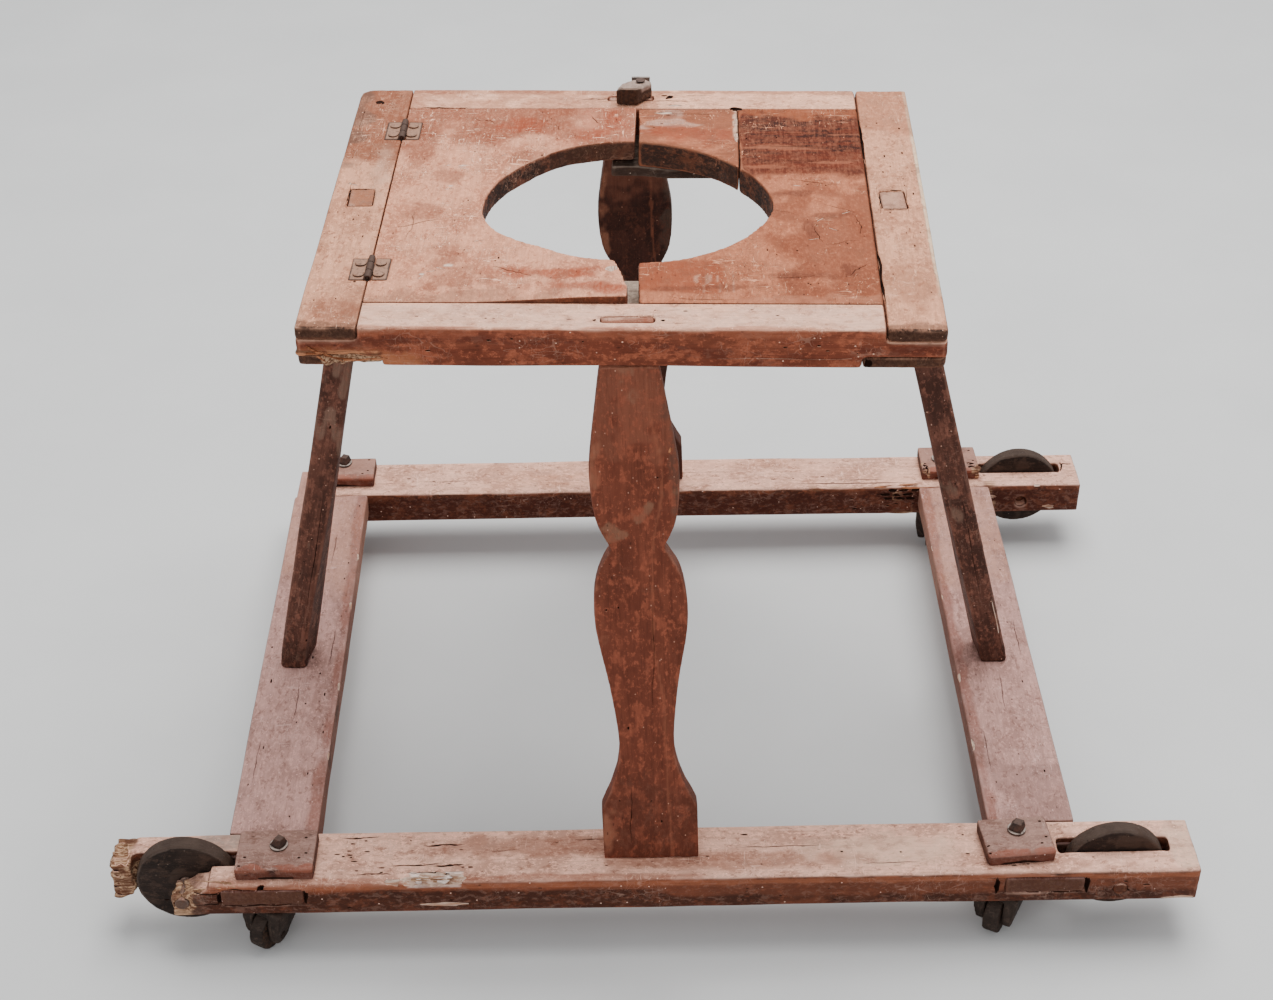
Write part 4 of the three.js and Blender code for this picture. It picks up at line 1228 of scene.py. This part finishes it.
def post(side, seed):
    node = f"{side}_post"
    place = strut_frame(node)
    top = box_in(place, node)[1][2]
    twist = math.radians(-16 if side == "left" else 8)
    tenon_top = srgb(178, 122, 92) if side == "left" else srgb(208, 168, 146)

    def shape(co):
        """Rounds the four long arrises, then twists the foot."""
        worn = 2.2 + 1.0 * noise(co, (30, 30, 60), seed, 2)
        body = (co[:, 2] / MM > 1) & (co[:, 2] / MM < top - 30)
        for across in ((0, -POST_WIDTH / 2, 1), (0, POST_WIDTH / 2, -1)):
            for along in ((1, -POST_DEPTH / 2, 1), (1, POST_DEPTH / 2, -1)):
                co = np.where(body[:, None], round_over(co, across, along, worn), co)
        z = co[:, 2] / MM
        angle = twist * ease(-z, -230, -20) * ease(z, -6, 8)
        x = co[:, 0] * np.cos(angle) - co[:, 1] * np.sin(angle)
        y = co[:, 0] * np.sin(angle) + co[:, 1] * np.cos(angle)
        return np.column_stack([x, y, co[:, 2]])

    def guard(co):
        return tight_tenon(co, top) * ease(co[:, 2] / MM, -2, 4)

    def stain(co):
        z = co[:, 2] / MM
        s = Stains(co, seed)
        s.zone(srgb(150, 118, 100), ease(noise(co, (14, 14, 40), seed + 5, 3), 0.3, 0.8), 0.5, 0.3, 8)
        s.zone(srgb(52, 28, 20), ease(z, 300, 380) * (z < top - 28), 0.6, 0.5, 20)
        s.zone(srgb(44, 22, 15), ease(-z, -40, -8), 0.55, 0.6, 12)
        s.zone(tenon_top, ease(z, top - 5, top - 2), 0.9, 0.3, 6)
        return s.rgba()

    dark = Shapes(HOLLOW, seed + 700)
    dark.holes(8, (-7, 20), (7, 360), -POST_DEPTH / 2, up=OUTWARD, along=(0, 0, 1), length=(1, 2.5))
    dark.crack((2, -POST_DEPTH / 2, 60), (3, -POST_DEPTH / 2, 170), 0.6, 3, up=OUTWARD)
    pale = Shapes(BROKEN_PALE, seed + 701)
    pale.lump((POST_WIDTH / 2, -POST_DEPTH / 2, 40), (3, 4, 60), rough=0.3)
    rebuild(node, place, "Z", "root", POST_WOOD, seed, 1.3, shape=shape, stain=stain,
            guard=guard, cuts=(dark, pale))


# ---- Tray ----

TRAY_HALF_DEPTH = box_in(TRAY, "tray_left_stile")[1][1]
TRAY_HALF_WIDTH = box_in(TRAY, "tray_right_stile")[1][0]
TRAY_BOTTOM = box_in(TRAY, "tray_left_stile")[0][2]


def only_near_edge(co, reach=9):
    """1 near the tray's outer edge or underside and 0 at its joints, so that joints stay tight."""
    x, y = np.abs(co[:, 0] / MM), np.abs(co[:, 1] / MM)
    outer = np.maximum(x - (TRAY_HALF_WIDTH - reach), y - (TRAY_HALF_DEPTH - reach))
    return np.clip(0.12 + ease(outer, 0, 4), 0, 1)


def tray_edge_shape(seed, radius=2.6):
    def shape(co):
        worn = radius * (1 + 0.4 * noise(co, 40, seed, 2))
        faces = ((0, -TRAY_HALF_WIDTH, 1), (0, TRAY_HALF_WIDTH, -1),
                 (1, -TRAY_HALF_DEPTH, 1), (1, TRAY_HALF_DEPTH, -1))
        for face in faces:
            co = round_over(co, face, (2, 0, -1), worn)
            co = round_over(co, face, (2, TRAY_BOTTOM, 1), worn)
        for across in faces[:2]:
            co = round_over(co, across, faces[2], worn * 2.4)
        return co
    return shape


def front_tray_rail_stain(co, seed):
    x, y, z = (co / MM).T
    s = Stains(co, seed)
    s.zone(srgb(232, 206, 190), ease(z, -1, 0) * ease(-y, 146, 152), 0.35, 0.8, 30)
    left_end = ease(-x, 120, 160) * ease(-z, 10, 18) * ease(-y, 174, 177)
    s.zone(srgb(196, 120, 78), left_end, 0.7, 0.8, 12)
    dark_bands = ease(-y, 174, 177) * ease(noise(co, (60, 20, 8), seed + 8, 2), 0, 0.6)
    s.zone(srgb(80, 32, 22), dark_bands, 0.5)
    s.zone(srgb(170, 96, 66), ease(-y, 172, 176) * ease(z, -7, -1), 0.5, 0.9, 16)
    return s.rgba()


def back_tray_rail_stain(co, seed):
    x, y, _ = (co / MM).T
    s = Stains(co, seed)
    s.zone(srgb(170, 108, 80), ease(-x, -40, 60), 0.45, 0.9, 30)
    s.zone(srgb(150, 88, 62), ease(y, 166, 174), 0.5, 0.8, 16)
    return s.rgba()


def front_tray_rail_cuts(seed):
    """The splat's tenon, the open joint beside the leaf, and pale chips low on the face."""
    dark = Shapes(HOLLOW, seed + 800)
    dark.holes(8, (-150, -172), (150, -150), 0)
    for x in (-17, 27):
        dark.lump((x, -166, 0), (2.6, 2.2, 2.4), rough=0.3)
    dark.crack((-16, -161.2, 0), (26, -160.8, 0), 0.9, 3)
    dark.crack((8, -144.9, 0), (169, -144.9, 0), 1.2, 4, wander=0.12)
    dark.crack((27, -169, 0), (44, -169.5, 0), 0.6, 3)
    dark.holes(9, (-180, -22), (190, -5), -TRAY_HALF_DEPTH, up=OUTWARD)
    dark.crack((60, -TRAY_HALF_DEPTH, -21), (150, -TRAY_HALF_DEPTH, -20), 0.5, 3, up=OUTWARD)
    pale = Shapes(BROKEN_PALE, seed + 801)
    pale.lump((-12, -178, -28), (34, 2.5, 2), rough=0.3)
    pale.lump((-168, -179, -22), (14, 3, 7), rough=0.4)
    return dark, pale


def back_tray_rail_cuts(seed):
    """Splits and dents beside the turn button, and the open joint beside the left leaf."""
    dark = Shapes(HOLLOW, seed + 800)
    dark.crack((-40, 160, 0), (-14, 161, 0), 1.6, 4)
    dark.crack((-168, 144.4, 0), (-6, 144.4, 0), 1.0, 4, wander=0.12)
    dark.crack((16, 158, 0), (44, 156.5, 0), 1.2, 4)
    dark.lump((28, 164, 0), (6, 6, 3), rough=0.4)
    dark.lump((24, 167, 0), (4, 3, 3), rough=0.4)
    dark.crack((40, 168, 0), (62, 168, 0), 0.9, 3)
    dark.crack((-160, 146, 0), (-122, 145.6, 0), 1.6, 6)
    dark.lump((78, 144, 0), (12, 7, 5), rough=0.3)
    pale = Shapes(BROKEN_PALE, seed + 801)
    pale.lump((34, 150, 0.3), (14, 3, 2), rough=0.4)
    return dark, pale


def tray_rail(end, seed):
    front = end == "front"
    stain = front_tray_rail_stain if front else back_tray_rail_stain
    cuts = front_tray_rail_cuts(seed) if front else back_tray_rail_cuts(seed)

    def raw(co):
        """The front rail's lower edge is split at its left end."""
        x, y, z = (co / MM).T
        ragged = -x + 5 * noise(co, 8, seed + 6, 2)
        return ease(ragged, 148, 156) * ease(-y, 172, 175) * ease(-z, 15, 18) * front

    rebuild(f"tray_{end}_rail", TRAY, "X", "root", TRAY_WOOD, seed, 1.5,
            stain=lambda co: stain(co, seed), guard=only_near_edge, shape=tray_edge_shape(seed, 2.0),
            raw=raw, tear=1.4, cuts=cuts)


def tray_stile_stain(co, left, seed):
    x, y, z = (co / MM).T
    s = Stains(co, seed)
    if left:
        s.zone(srgb(142, 82, 54), ease(y, 20, 90), 0.8, 0.7, 40)
        s.zone(srgb(112, 92, 82), ease(-x, 190, 204) * ease(y, 30, 110), 0.6, 0.9, 16)
        s.zone(srgb(176, 128, 104), ease(-y, 90, 160) * ease(x, -186, -176), 0.5, 0.8, 20)
        s.blot(srgb(142, 84, 60), (-188, -152), (34, 38), 0.5)
        s.blot(srgb(216, 180, 158), (-178, 40), (14, 70), 0.5)
    else:
        rim = ease(x, TRAY_HALF_WIDTH - 4.5, TRAY_HALF_WIDTH - 2) * ease(y, -150, -90)
        s.zone(srgb(244, 224, 196), rim * ease(z, -3, -1), 0.85, 0.4, 10)
        s.zone(srgb(176, 116, 86), ease(y, 90, 150), 0.5, 0.8, 30)
        s.blot(srgb(170, 118, 90), (190, -120), (30, 60), 0.5)
    s.zone(srgb(96, 66, 50), ease(-y, 166, 173), 0.6, 0.8, 12)
    s.zone(srgb(50, 29, 19), ease(-y, 174.5, 177), 0.95, 0.25, 12)
    return s.rgba()


def tray_stile_hollows(left, seed):
    """The gap round the post's tenon, worm holes, cracks and dents. The right stile's joint is open."""
    dark = Shapes(HOLLOW, seed + 900)
    inner = -169 if left else 170
    # The outline of the post's tenon
    x0, x1, y0, y1 = (-195, -178.6, -12.7, 13) if left else (177, 194, -16, 13.5)
    sides = ((x0, y0), (x1, y0)), ((x0, y1), (x1, y1)), ((x0, y0), (x0, y1)), ((x1, y0), (x1, y1))
    for start, end in sides:
        dark.crack((*start, 0), (*end, 0), 1.3, 4, wander=0.1)
    near, far = sorted((inner * 1.06, inner * 1.2))
    dark.holes(12, (near, -160), (far, 165), 0, along=(0, 1, 0))
    if left:
        dark.crack((-202, 100, 0), (-201, 150, 0), 0.5, 3)
        dark.crack((-197, 20, 0), (-197, -12, 0), 0.9, 3)
        dark.lump((-192, 154, 0), (7, 6, 2), rough=0.3)
        dark.hole((-176, -118, 0), 1.2, 3)
    else:
        dark.crack((inner + 0.5, 55, 0), (inner - 0.5, 143, 0), 3.0, 8)
        dark.crack((inner - 0.3, -62, 0), (inner + 0.6, -150, 0), 2.0, 8)
        dark.crack((175.6, 20, 0), (175.8, -24, 0), 0.6, 2)
        dark.crack((195.5, 18, 0), (195.3, -22, 0), 0.6, 2)
        dark.lump((158, -TRAY_HALF_DEPTH, -25), (5, 9, 8), rough=0.3)
    return dark


def tray_stile(side, seed):
    left = side == "left"

    def raw(co):
        """The left stile's lower front corner is torn."""
        x, y, z = (co / MM).T
        ragged = x + 4 * noise(co, 9, seed + 6, 2)
        return ease(ragged, -195, -190) * ease(-y, 171, 174) * ease(-z, 19, 20) * left

    pale = Shapes(BROKEN_PALE, seed + 901)
    if left:
        pale.sliver((-199, 22, 0.2), (1, -0.6, 0), 16, 2.0, 1.2)
        pale.lump((-193, -TRAY_HALF_DEPTH, -10), (3, 2, 2), rough=0.3)
    rebuild(f"tray_{side}_stile", TRAY, "Y", "root", STILE_WOOD, seed, 1.5,
            stain=lambda co: tray_stile_stain(co, left, seed), guard=only_near_edge,
            shape=tray_edge_shape(seed), raw=raw, tear=1.6, cuts=(tray_stile_hollows(left, seed), pale))


def tray_splinters():
    """The torn fibres at the tray's front left corner."""
    tufts = Shapes(BROKEN_ORANGE, 321)
    face = -TRAY_HALF_DEPTH - 0.3
    for x, z, way, length in (
        (-201, -13, (0.75, 0, -0.6), 13), (-199, -15, (0.9, 0, -0.4), 15), (-202, -18, (1, 0, -0.06), 14),
        (-190, -19, (1, 0, -0.3), 14), (-184, -21, (1, 0, -0.2), 15), (-178, -23, (1, 0, 0.1), 12),
        (-195, -20, (0.8, 0, -0.6), 8), (-170, -23, (1, 0, 0.1), 16), (-160, -22, (1, 0, -0.1), 12),
    ):
        tufts.sliver((x, face, z), way, length, 1.2, 0.8, up=OUTWARD)
    extra("tray_splinters", tufts, TRAY, "X", "root", 322)


# ---- Leaves and cleats ----

def rim_dark(s, co):
    """Darkens the sawn wall of the opening, which faces its middle."""
    x, y, z = (co / MM).T
    away = np.hypot(x, y)
    s.zone(srgb(42, 29, 24), ease(-away, -108, -100) * ease(-z, 0.8, 2.2), 0.95, 0.3, 12)


def leaf_cracks(dark, lines, wander):
    """Shallow cracks on top. Each line is where it starts, x and y, where it ends, and its width."""
    for x0, y0, x1, y1, width in lines:
        dark.crack((x0, y0, 0), (x1, y1, 0), width, 2.5, wander=wander)


def leaf_guard(co):
    """1 at the opening's wall and low elsewhere, so that the leaf's joints stay tight."""
    return np.clip(0.15 + ease(105 - np.hypot(*co[:, :2].T) / MM, 0, 4), 0, 1)


# Blots on the left leaf: their centre and size in mm, and their turn in degrees
LEFT_LEAF_RED = [
    ((-84, 113), (50, 22), -10), ((-31, 98), (44, 14), 20), ((-11, 126), (24, 26), 0),
    ((-54, -109), (64, 14), -8), ((-24, -106), (36, 18), 15), ((-30, -128), (60, 12), -6),
    ((-10, -134), (20, 16), 0),
]
LEFT_LEAF_BROWN = [
    ((-121, -85), (22, 44)), ((-108, -118), (34, 30)), ((-150, 80), (20, 60)), ((-140, -20), (30, 24)),
    ((-128, 34), (26, 22)), ((-70, 60), (30, 20)),
]
LEFT_LEAF_SPOTS = [(-134, -108), (-118, -96), (-126, 18), (-120, 50), (-98, -66)]
# Cracks: where they start, x and y, where they end, and how wide. Nicks: x, y, turn and length
LEFT_LEAF_CRACKS = [
    (-162, -43, -128, -29, 0.8), (-118, 128, -100, 118, 0.8), (-30, 130, -22, 118, 0.9),
    (-60, 118, -50, 108, 0.6), (-150, -60, -148, -20, 0.4), (-90, -95, -60, -112, 0.6),
    (-70, -128, -20, -124, 0.6),
]
LEFT_LEAF_NICKS = [
    (-128, -104, 0.3, 9), (-122, -100, -0.4, 7), (-131, 50, 0.5, 7), (-120, 46, -0.3, 8),
    (-126, 14, 0.4, 8), (-100, -62, 0.2, 8), (-134, -112, 0.9, 6), (-92, 66, 0.7, 9),
]


def left_leaf_stain(co):
    x, y, _ = (co / MM).T
    s = Stains(co, 220, reach=14)
    s.zone(srgb(150, 86, 60), ease(y, 50, 110), 0.75, 0.8, 30)
    s.zone(srgb(196, 132, 106), ease(x, -60, -20) * ease(y, 60, 110), 0.6, 0.7, 20)
    for centre, size, turn in LEFT_LEAF_RED:
        s.blot(srgb(168, 88, 58), centre, size, 0.75, 0.7, turn)
    for centre, size in LEFT_LEAF_BROWN:
        s.blot(srgb(140, 82, 60), centre, size, 0.5, 0.8)
    s.zone(srgb(158, 120, 100), ease(-y, 120, 142) * ease(-x, 20, 80), 0.5, 0.8, 12)
    for centre in LEFT_LEAF_SPOTS:
        s.blot(srgb(240, 222, 208), centre, (5, 3), 0.8, 0.9)
    rim_dark(s, co)
    return s.rgba()


def left_leaf():
    low, high = box_in(TRAY, "left_leaf")

    def shape(co):
        """The leaf has warped: it lifts towards the seam, most of all at the front."""
        x, y = co[:, 0] / MM, co[:, 1] / MM
        front_lift = 5.0 * ease(x, -110, high[0]) * ease(-y, 50, -low[1])
        back_lift = 1.0 * ease(x, -60, high[0]) * ease(y, 80, 140)
        lifted = co.copy()
        lifted[:, 2] += (front_lift + back_lift) * MM
        return lifted

    def guard(co):
        seam = ease(co[:, 0] / MM, -20, -6)
        return np.clip(0.15 + seam + ease(105 - np.hypot(*co[:, :2].T) / MM, 0, 4), 0, 1)

    dark = Shapes(HOLLOW, 341)
    leaf_cracks(dark, LEFT_LEAF_CRACKS, 0.8)
    dark.holes(14, (-160, -130), (-20, 130), 0, along=(0, 1, 0), length=(1, 2))
    pale = Shapes(BROKEN_PALE, 342)
    for x, y, turn, length in LEFT_LEAF_NICKS:
        pale.lump((x, y, 0.1), (length, 0.9, 0.7), turn, 0.3)
    pale.lump((-8, -104, 4), (12, 8, 4), 0.9, 0.3)
    rebuild("left_leaf", TRAY, "Y", "left_leaf", LEAF_WOOD, 140, 1.5, wobble=0.5, shape=shape,
            stain=left_leaf_stain, guard=guard, cuts=(dark, pale))


# The same for the right leaf, whose nicks are all one length
RIGHT_LEAF_BROWN = [
    ((118, -108), (40, 10), 4), ((150, -100), (12, 22), 20), ((140, -24), (34, 8), 12),
    ((126, -46), (10, 30), 10), ((112, 8), (44, 10), 8), ((60, -124), (80, 8), 4),
]
RIGHT_LEAF_CRACKS = [
    (112, 30, 150, 22, 0.8), (128, -40, 134, -62, 0.7), (150, -108, 162, -92, 0.9),
    (96, -112, 128, -108, 0.6), (30, -136, 76, -139, 0.6), (100, -16, 118, -24, 0.5),
    (90, 104, 140, 101, 0.7), (96, 84, 150, 80, 0.6), (100, 60, 156, 58, 0.5), (138, -8, 158, -20, 0.6),
    (158, -24, 160, -52, 0.6), (134, -66, 156, -60, 0.6),
]
RIGHT_LEAF_NICKS = [(134, -30, 0.8), (142, -44, -0.6), (128, -58, 0.3), (120, 20, -0.2), (152, -20, 0.5)]


def right_leaf_stain(co):
    x, y, _ = (co / MM).T
    s = Stains(co, 230)
    back = ease(y, 20, 56) * ease(x, 79, 84)
    streaks = noise(co, (60, 5, 20), 231, 3)
    s.zone(srgb(104, 48, 25), back, 0.95, 0.4, 20)
    s.zone(srgb(140, 80, 54), ease(x, 84, 124) * ease(-y, -60, 0) * (1 - back), 0.6, 0.9, 22)
    s.zone(srgb(64, 26, 12), ease(y, 46, 80) * ease(x, 78, 86) * ease(streaks, -0.7, 0.3), 0.85, 0.5, 14)
    s.zone(srgb(124, 58, 29), back * ease(streaks, -0.1, 0.5), 0.7, 0.4, 12)
    s.zone(srgb(188, 116, 78), ease(y, 120, 140) * (x > 79), 0.6, 0.9, 14)
    s.zone(srgb(196, 134, 104), ease(noise(co, (50, 7, 20), 233, 2), 0.4, 0.7) * back, 0.45, 0.3, 8)
    front_patch = ease(-y, 84, 96) * ease(y, -134, -124) * ease(-x, -74, -56)
    s.zone(srgb(164, 94, 64), front_patch, 0.85, 0.6, 20)
    hatch = ease(noise(co, (2.2, 14, 14), 236), 0.15, 0.45)
    hatched = hatch * ease(-y, 104, 110) * ease(y, -134, -128) * ease(x, 44, 48) * ease(-x, -78, -72)
    s.zone(srgb(226, 190, 168), hatched, 0.45, 0.3, 7)
    for centre, size, turn in RIGHT_LEAF_BROWN:
        s.blot(srgb(118, 68, 48), centre, size, 0.6, 0.7, turn)
    s.zone(srgb(206, 150, 122), ease(-y, 126, 140) * ease(x, 70, 100), 0.5, 0.8, 10)
    rim_dark(s, co)
    return s.rgba()


def right_leaf():
    dark = Shapes(HOLLOW, 351)
    leaf_cracks(dark, RIGHT_LEAF_CRACKS, 0.7)
    dark.lump((80, 145, 0), (7, 8, 8), rough=0.3)
    dark.holes(16, (84, -138), (164, 136), 0, along=(0, 1, 0), length=(1, 2))
    pale = Shapes(BROKEN_PALE, 352)
    for x, y, turn in RIGHT_LEAF_NICKS:
        pale.lump((x, y, 0.1), (8, 0.8, 0.6), turn, 0.3)
    rebuild("right_leaf", TRAY, "Y", "root", RIGHT_LEAF_WOOD, 141, 1.5, wobble=0.5,
            stain=right_leaf_stain, guard=leaf_guard, cuts=(dark, pale))


def leaf_patch():
    right = box_in(TRAY, "right_leaf_patch")[1][0]

    def stain(co):
        x, y, _ = (co / MM).T
        s = Stains(co, 240)
        s.zone(srgb(158, 102, 76), ease(noise(co, (30, 16, 12), 243, 3), -0.7, 0.3), 0.75, 0.4, 12)
        s.zone(srgb(222, 192, 176), ease(noise(co, (30, 12, 12), 241, 3), 0.1, 0.7), 0.6, 0.3, 12)
        s.blot(srgb(168, 88, 58), (30, 104), (44, 24), 0.7)
        s.blot(srgb(160, 84, 58), (62, 96), (26, 30), 0.7)
        s.blot(srgb(140, 84, 62), (20, 132), (34, 10), 0.6)
        s.zone(srgb(238, 208, 184), ease(x, right - 5, right - 2) * ease(y, 90, 100), 0.8, 0.5, 6)
        rim_dark(s, co)
        return s.rgba()

    dark = Shapes(HOLLOW, 361)
    dark.crack((12, 137, 0), (64, 135, 0), 0.7, 3)
    dark.lump((right, 144, 0), (10, 6, 7), rough=0.3)
    dark.holes(5, (14, 100), (70, 134), 0)
    pale = Shapes(BROKEN_PALE, 362)
    for y in (99, 122):
        pale.lump((right - 1, y, 0), (4, 16, 3), rough=0.45)
    pale.lump((24, 137, 0), (16, 3, 2), rough=0.4)
    rebuild("right_leaf_patch", TRAY, "X", "root", RIGHT_LEAF_WOOD, 142, 1.4, wobble=0.7,
            stain=stain, guard=leaf_guard, cuts=(dark, pale))


def cleat(end, seed):
    def stain(co):
        s = Stains(co, seed)
        s.zone(srgb(58, 41, 33), np.full(len(co), 1.0 if end == "back" else 0.0), 0.85, 0.3)
        return s.rgba()

    rebuild(f"{end}_cleat", TRAY, "X", "root", CLEAT_WOOD, seed, 1.4, stain=stain)


# ---- Hinges, turn button and strap ----

BARREL = 2.4  # half the width of a hinge's barrel
PLATE_RIM = 11.4  # where the painted shade on the rim of a plate's long side starts, from the pin
PLATE_END_RIM = 1.4  # and how wide it is at the plate's ends
KNUCKLE = 3.0  # how much of a plate's width its knuckles take
NAIL_HEAD = 4.2


def hinge(end, seed):
    pin_low, pin_high = box_in(TRAY, f"{end}_hinge_pin")
    line = (pin_low[0] + pin_high[0]) / 2

    def barrel_and_rim_shade(co):
        """Paints shade on the barrel and on the rim of the plates, where the gaps round them lie dark."""
        s = Stains(co, seed + 50)
        x, y = co[:, 0] / MM, co[:, 1] / MM
        away = np.abs(x - line)
        # Painted shade on the barrel, in the gap at the seam, and on the plates' long rims.
        barrel_and_rim_shade_mask = ease(-away, -BARREL - 1, -BARREL) + ease(away, PLATE_RIM, PLATE_RIM + 1.2)
        s.zone(srgb(62, 44, 36), barrel_and_rim_shade_mask, 0.9, 0.4, 5)
        # Painted shade on the plates' end rims, for the gap round their ends.
        rim = np.maximum(y - (pin_high[1] - PLATE_END_RIM), (pin_low[1] + PLATE_END_RIM) - y)
        s.zone(srgb(70, 50, 41), ease(rim, 0, 1), 0.7, 0.4, 5)
        return s.rgba()

    for k, (side, body) in enumerate((("stile", "root"), ("leaf", "left_leaf"))):
        node = f"{end}_hinge_{side}_plate"
        rebuild(node, TRAY, "X", body, HINGE_IRON, seed + k, 0.5, passes=2, wobble=0.15,
                ridge=0.05, stain=barrel_and_rim_shade)
        low, high = box_in(TRAY, node)
        stile = side == "stile"
        flat_low, flat_high = (low[0], high[0] - KNUCKLE) if stile else (low[0] + KNUCKLE, high[0])
        for n, along in enumerate((0.24, 0.74)):
            y = low[1] + (high[1] - low[1]) * along
            centre = ((flat_low + flat_high) / 2, y)
            nail_head(f"{node}_nail_{n}", centre, NAIL_HEAD, body, seed + 10 + 4 * k + n)
    rebuild(f"{end}_hinge_pin", TRAY, "Y", "root", PIN_IRON, seed + 30, 0.4, passes=1,
            wobble=0.02, ridge=0.02)


def nail_head(name, centre, radius, body, seed):
    """A hammered nail head on the tray's top, domed, with its front edge lifted."""
    random = np.random.default_rng(seed)
    sides, rings = 14, 5
    points, faces = [], []
    for ring in range(rings):
        share = ring / (rings - 1)
        spread = radius * math.sin(share * math.pi / 2) if ring else 0.15
        for k in range(sides):
            angle = 2 * math.pi * k / sides
            r = spread * (1 + 0.08 * random.uniform(-1, 1))
            height = 0.5 + 1.3 * math.cos(share * math.pi / 2) + 0.35 * -math.sin(angle) * share
            points.append((centre[0] + r * math.cos(angle), centre[1] + r * math.sin(angle), height))
    base = len(points)
    for k in range(sides):
        angle = 2 * math.pi * k / sides
        foot = 0.7 * radius
        points.append((centre[0] + foot * math.cos(angle), centre[1] + foot * math.sin(angle), -0.3))
    faces.append(list(range(sides)))
    for ring in range(rings):
        for k in range(sides):
            n = (k + 1) % sides
            below = ring * sides + sides
            faces.append([ring * sides + k, below + k, below + n, ring * sides + n])
    faces.append([base + k for k in reversed(range(sides))])
    shapes = Shapes(HINGE_IRON, seed)
    shapes.add(points, faces)
    mesh = with_modifier(shapes.mesh(), "SUBSURF", levels=1, render_levels=1)
    describe(mesh, TRAY, "X", seed)
    write(mesh, "edge", np.zeros(len(mesh.vertices)))
    write(mesh, "stain", np.zeros((len(mesh.vertices), 4)), "FLOAT_COLOR")
    settle(name, mesh, TRAY, body)


def turn_button():
    low, high = box_in(TRAY, "turn_button")

    def stain(co):
        _, y, z = (co / MM).T
        s = Stains(co, 250)
        nose = ease(-y, -(low[1] + 9), -(low[1] + 1)) * ease(-z, -high[2] + 0.5, -high[2] + 2)
        s.zone(srgb(60, 42, 33), nose, 0.9)
        top = ease(z, high[2] - 7, high[2] - 3) * ease(y, low[1] + 2, low[1] + 6)
        s.zone(srgb(196, 174, 162), top, 0.8, 0.4, 6)
        return s.rgba()

    cut = Shapes(BUTTON_WOOD, 371)
    cut.lump((low[0] - 1, low[1] + 4, high[2] + 1), (12, 14, 7), 0.4, 0.15)
    cut.lump((high[0] - 2, low[1] + 2, high[2]), (10, 10, 6), 0.6, 0.15)
    rebuild("turn_button", TRAY, "Y", "turn_button", BUTTON_WOOD, 180, 0.8, passes=4,
            wobble=0.3, stain=stain, cuts=(cut,))
    rebuild("turn_button_nail", TRAY, "X", "root", PIN_IRON, 181, 0.6, passes=2)
    rebuild("back_strap", TRAY, "X", "root", STRAP_IRON, 182, 0.6, passes=2, wobble=0.3)


front_rail()
back_rail()
side_board("left", 13)
side_board("right", 14)
for number, corner in enumerate(CORNERS):
    corner_block(corner, 20 + number)
    caster(corner, 30 + number)
for number, corner in enumerate(("front_left", "front_right", "back_right")):
    slot_wheel(corner, 80 + number)
splat("front", SPLAT_WOOD, 100)
splat("back", SHADED_SPLAT, 101)
post("left", 110)
post("right", 111)
tray_rail("front", 120)
tray_rail("back", 121)
tray_stile("left", 130)
tray_stile("right", 131)
tray_splinters()
left_leaf()
right_leaf()
leaf_patch()
cleat("front", 150)
cleat("back", 151)
hinge("front", 160)
hinge("back", 400)
turn_button()


# ---- Floor, light and camera ----

# The camera's place in metres, its lens in mm, and how it is turned, in degrees
CAMERA_PLACE = (-0.02019, -1.35649, 1.18468)
CAMERA_LENS = 61.45
CAMERA_PITCH = -35.596
CAMERA_YAW = 0.527
CAMERA_ROLL = -0.558


def add_floor():
    p = Paint("floor")
    coordinates = p.tree.nodes.new("ShaderNodeTexCoord").outputs["Object"]
    mottle = p.noise(p.scaled(coordinates, (6, 6, 6)), 4.0)
    p.finish(p.mix(mottle, srgb(213, 213, 212), srgb(228, 228, 226)), 0.9, specular=0.1)
    bpy.ops.mesh.primitive_plane_add(size=12, location=(0, 0, CAD_BOX[0].z - 0.3 * MM))
    floor = bpy.context.object
    floor.name = "floor"
    floor.data.materials.append(p.material)


def add_light(name, place, size, power, target=(0, 0, 0.3)):
    data = bpy.data.lights.new(name, "AREA")
    data.shape = "DISK"
    data.size = size
    data.energy = power
    light = bpy.data.objects.new(name, data)
    light.location = place
    light.rotation_mode = "QUATERNION"
    light.rotation_quaternion = (Vector(target) - Vector(place)).to_track_quat("-Z", "Y")
    bpy.context.scene.collection.objects.link(light)


def add_sky(brightness):
    world = bpy.data.worlds.new("studio")
    world.use_nodes = True
    background = world.node_tree.nodes["Background"]
    background.inputs["Color"].default_value = (0.95, 0.97, 1.0, 1)
    background.inputs["Strength"].default_value = brightness
    bpy.context.scene.world = world


def add_camera():
    data = bpy.data.cameras.new("camera")
    data.sensor_width = 36
    data.lens = CAMERA_LENS
    data.clip_start = 0.05
    camera = bpy.data.objects.new("camera", data)
    bpy.context.scene.collection.objects.link(camera)
    pitch, yaw, roll = (math.radians(a) for a in (CAMERA_PITCH, CAMERA_YAW, CAMERA_ROLL))
    ahead = Vector((math.sin(yaw) * math.cos(pitch), math.cos(yaw) * math.cos(pitch), math.sin(pitch)))
    right = ahead.cross(Vector(UP)).normalized()
    above = right.cross(ahead)
    tilted_right = right * math.cos(roll) + above * math.sin(roll)
    tilted_above = above * math.cos(roll) - right * math.sin(roll)
    turn = Matrix((tilted_right, tilted_above, -ahead)).transposed()
    camera.matrix_world = Matrix.Translation(CAMERA_PLACE) @ turn.to_4x4()
    bpy.context.scene.camera = camera


add_floor()
add_sky(0.68)
add_light("overhead", (0.3, 0.7, 2.6), 2.2, 84)
add_light("front_fill", (-0.8, -2.4, 1.6), 2.0, 12)
add_camera()
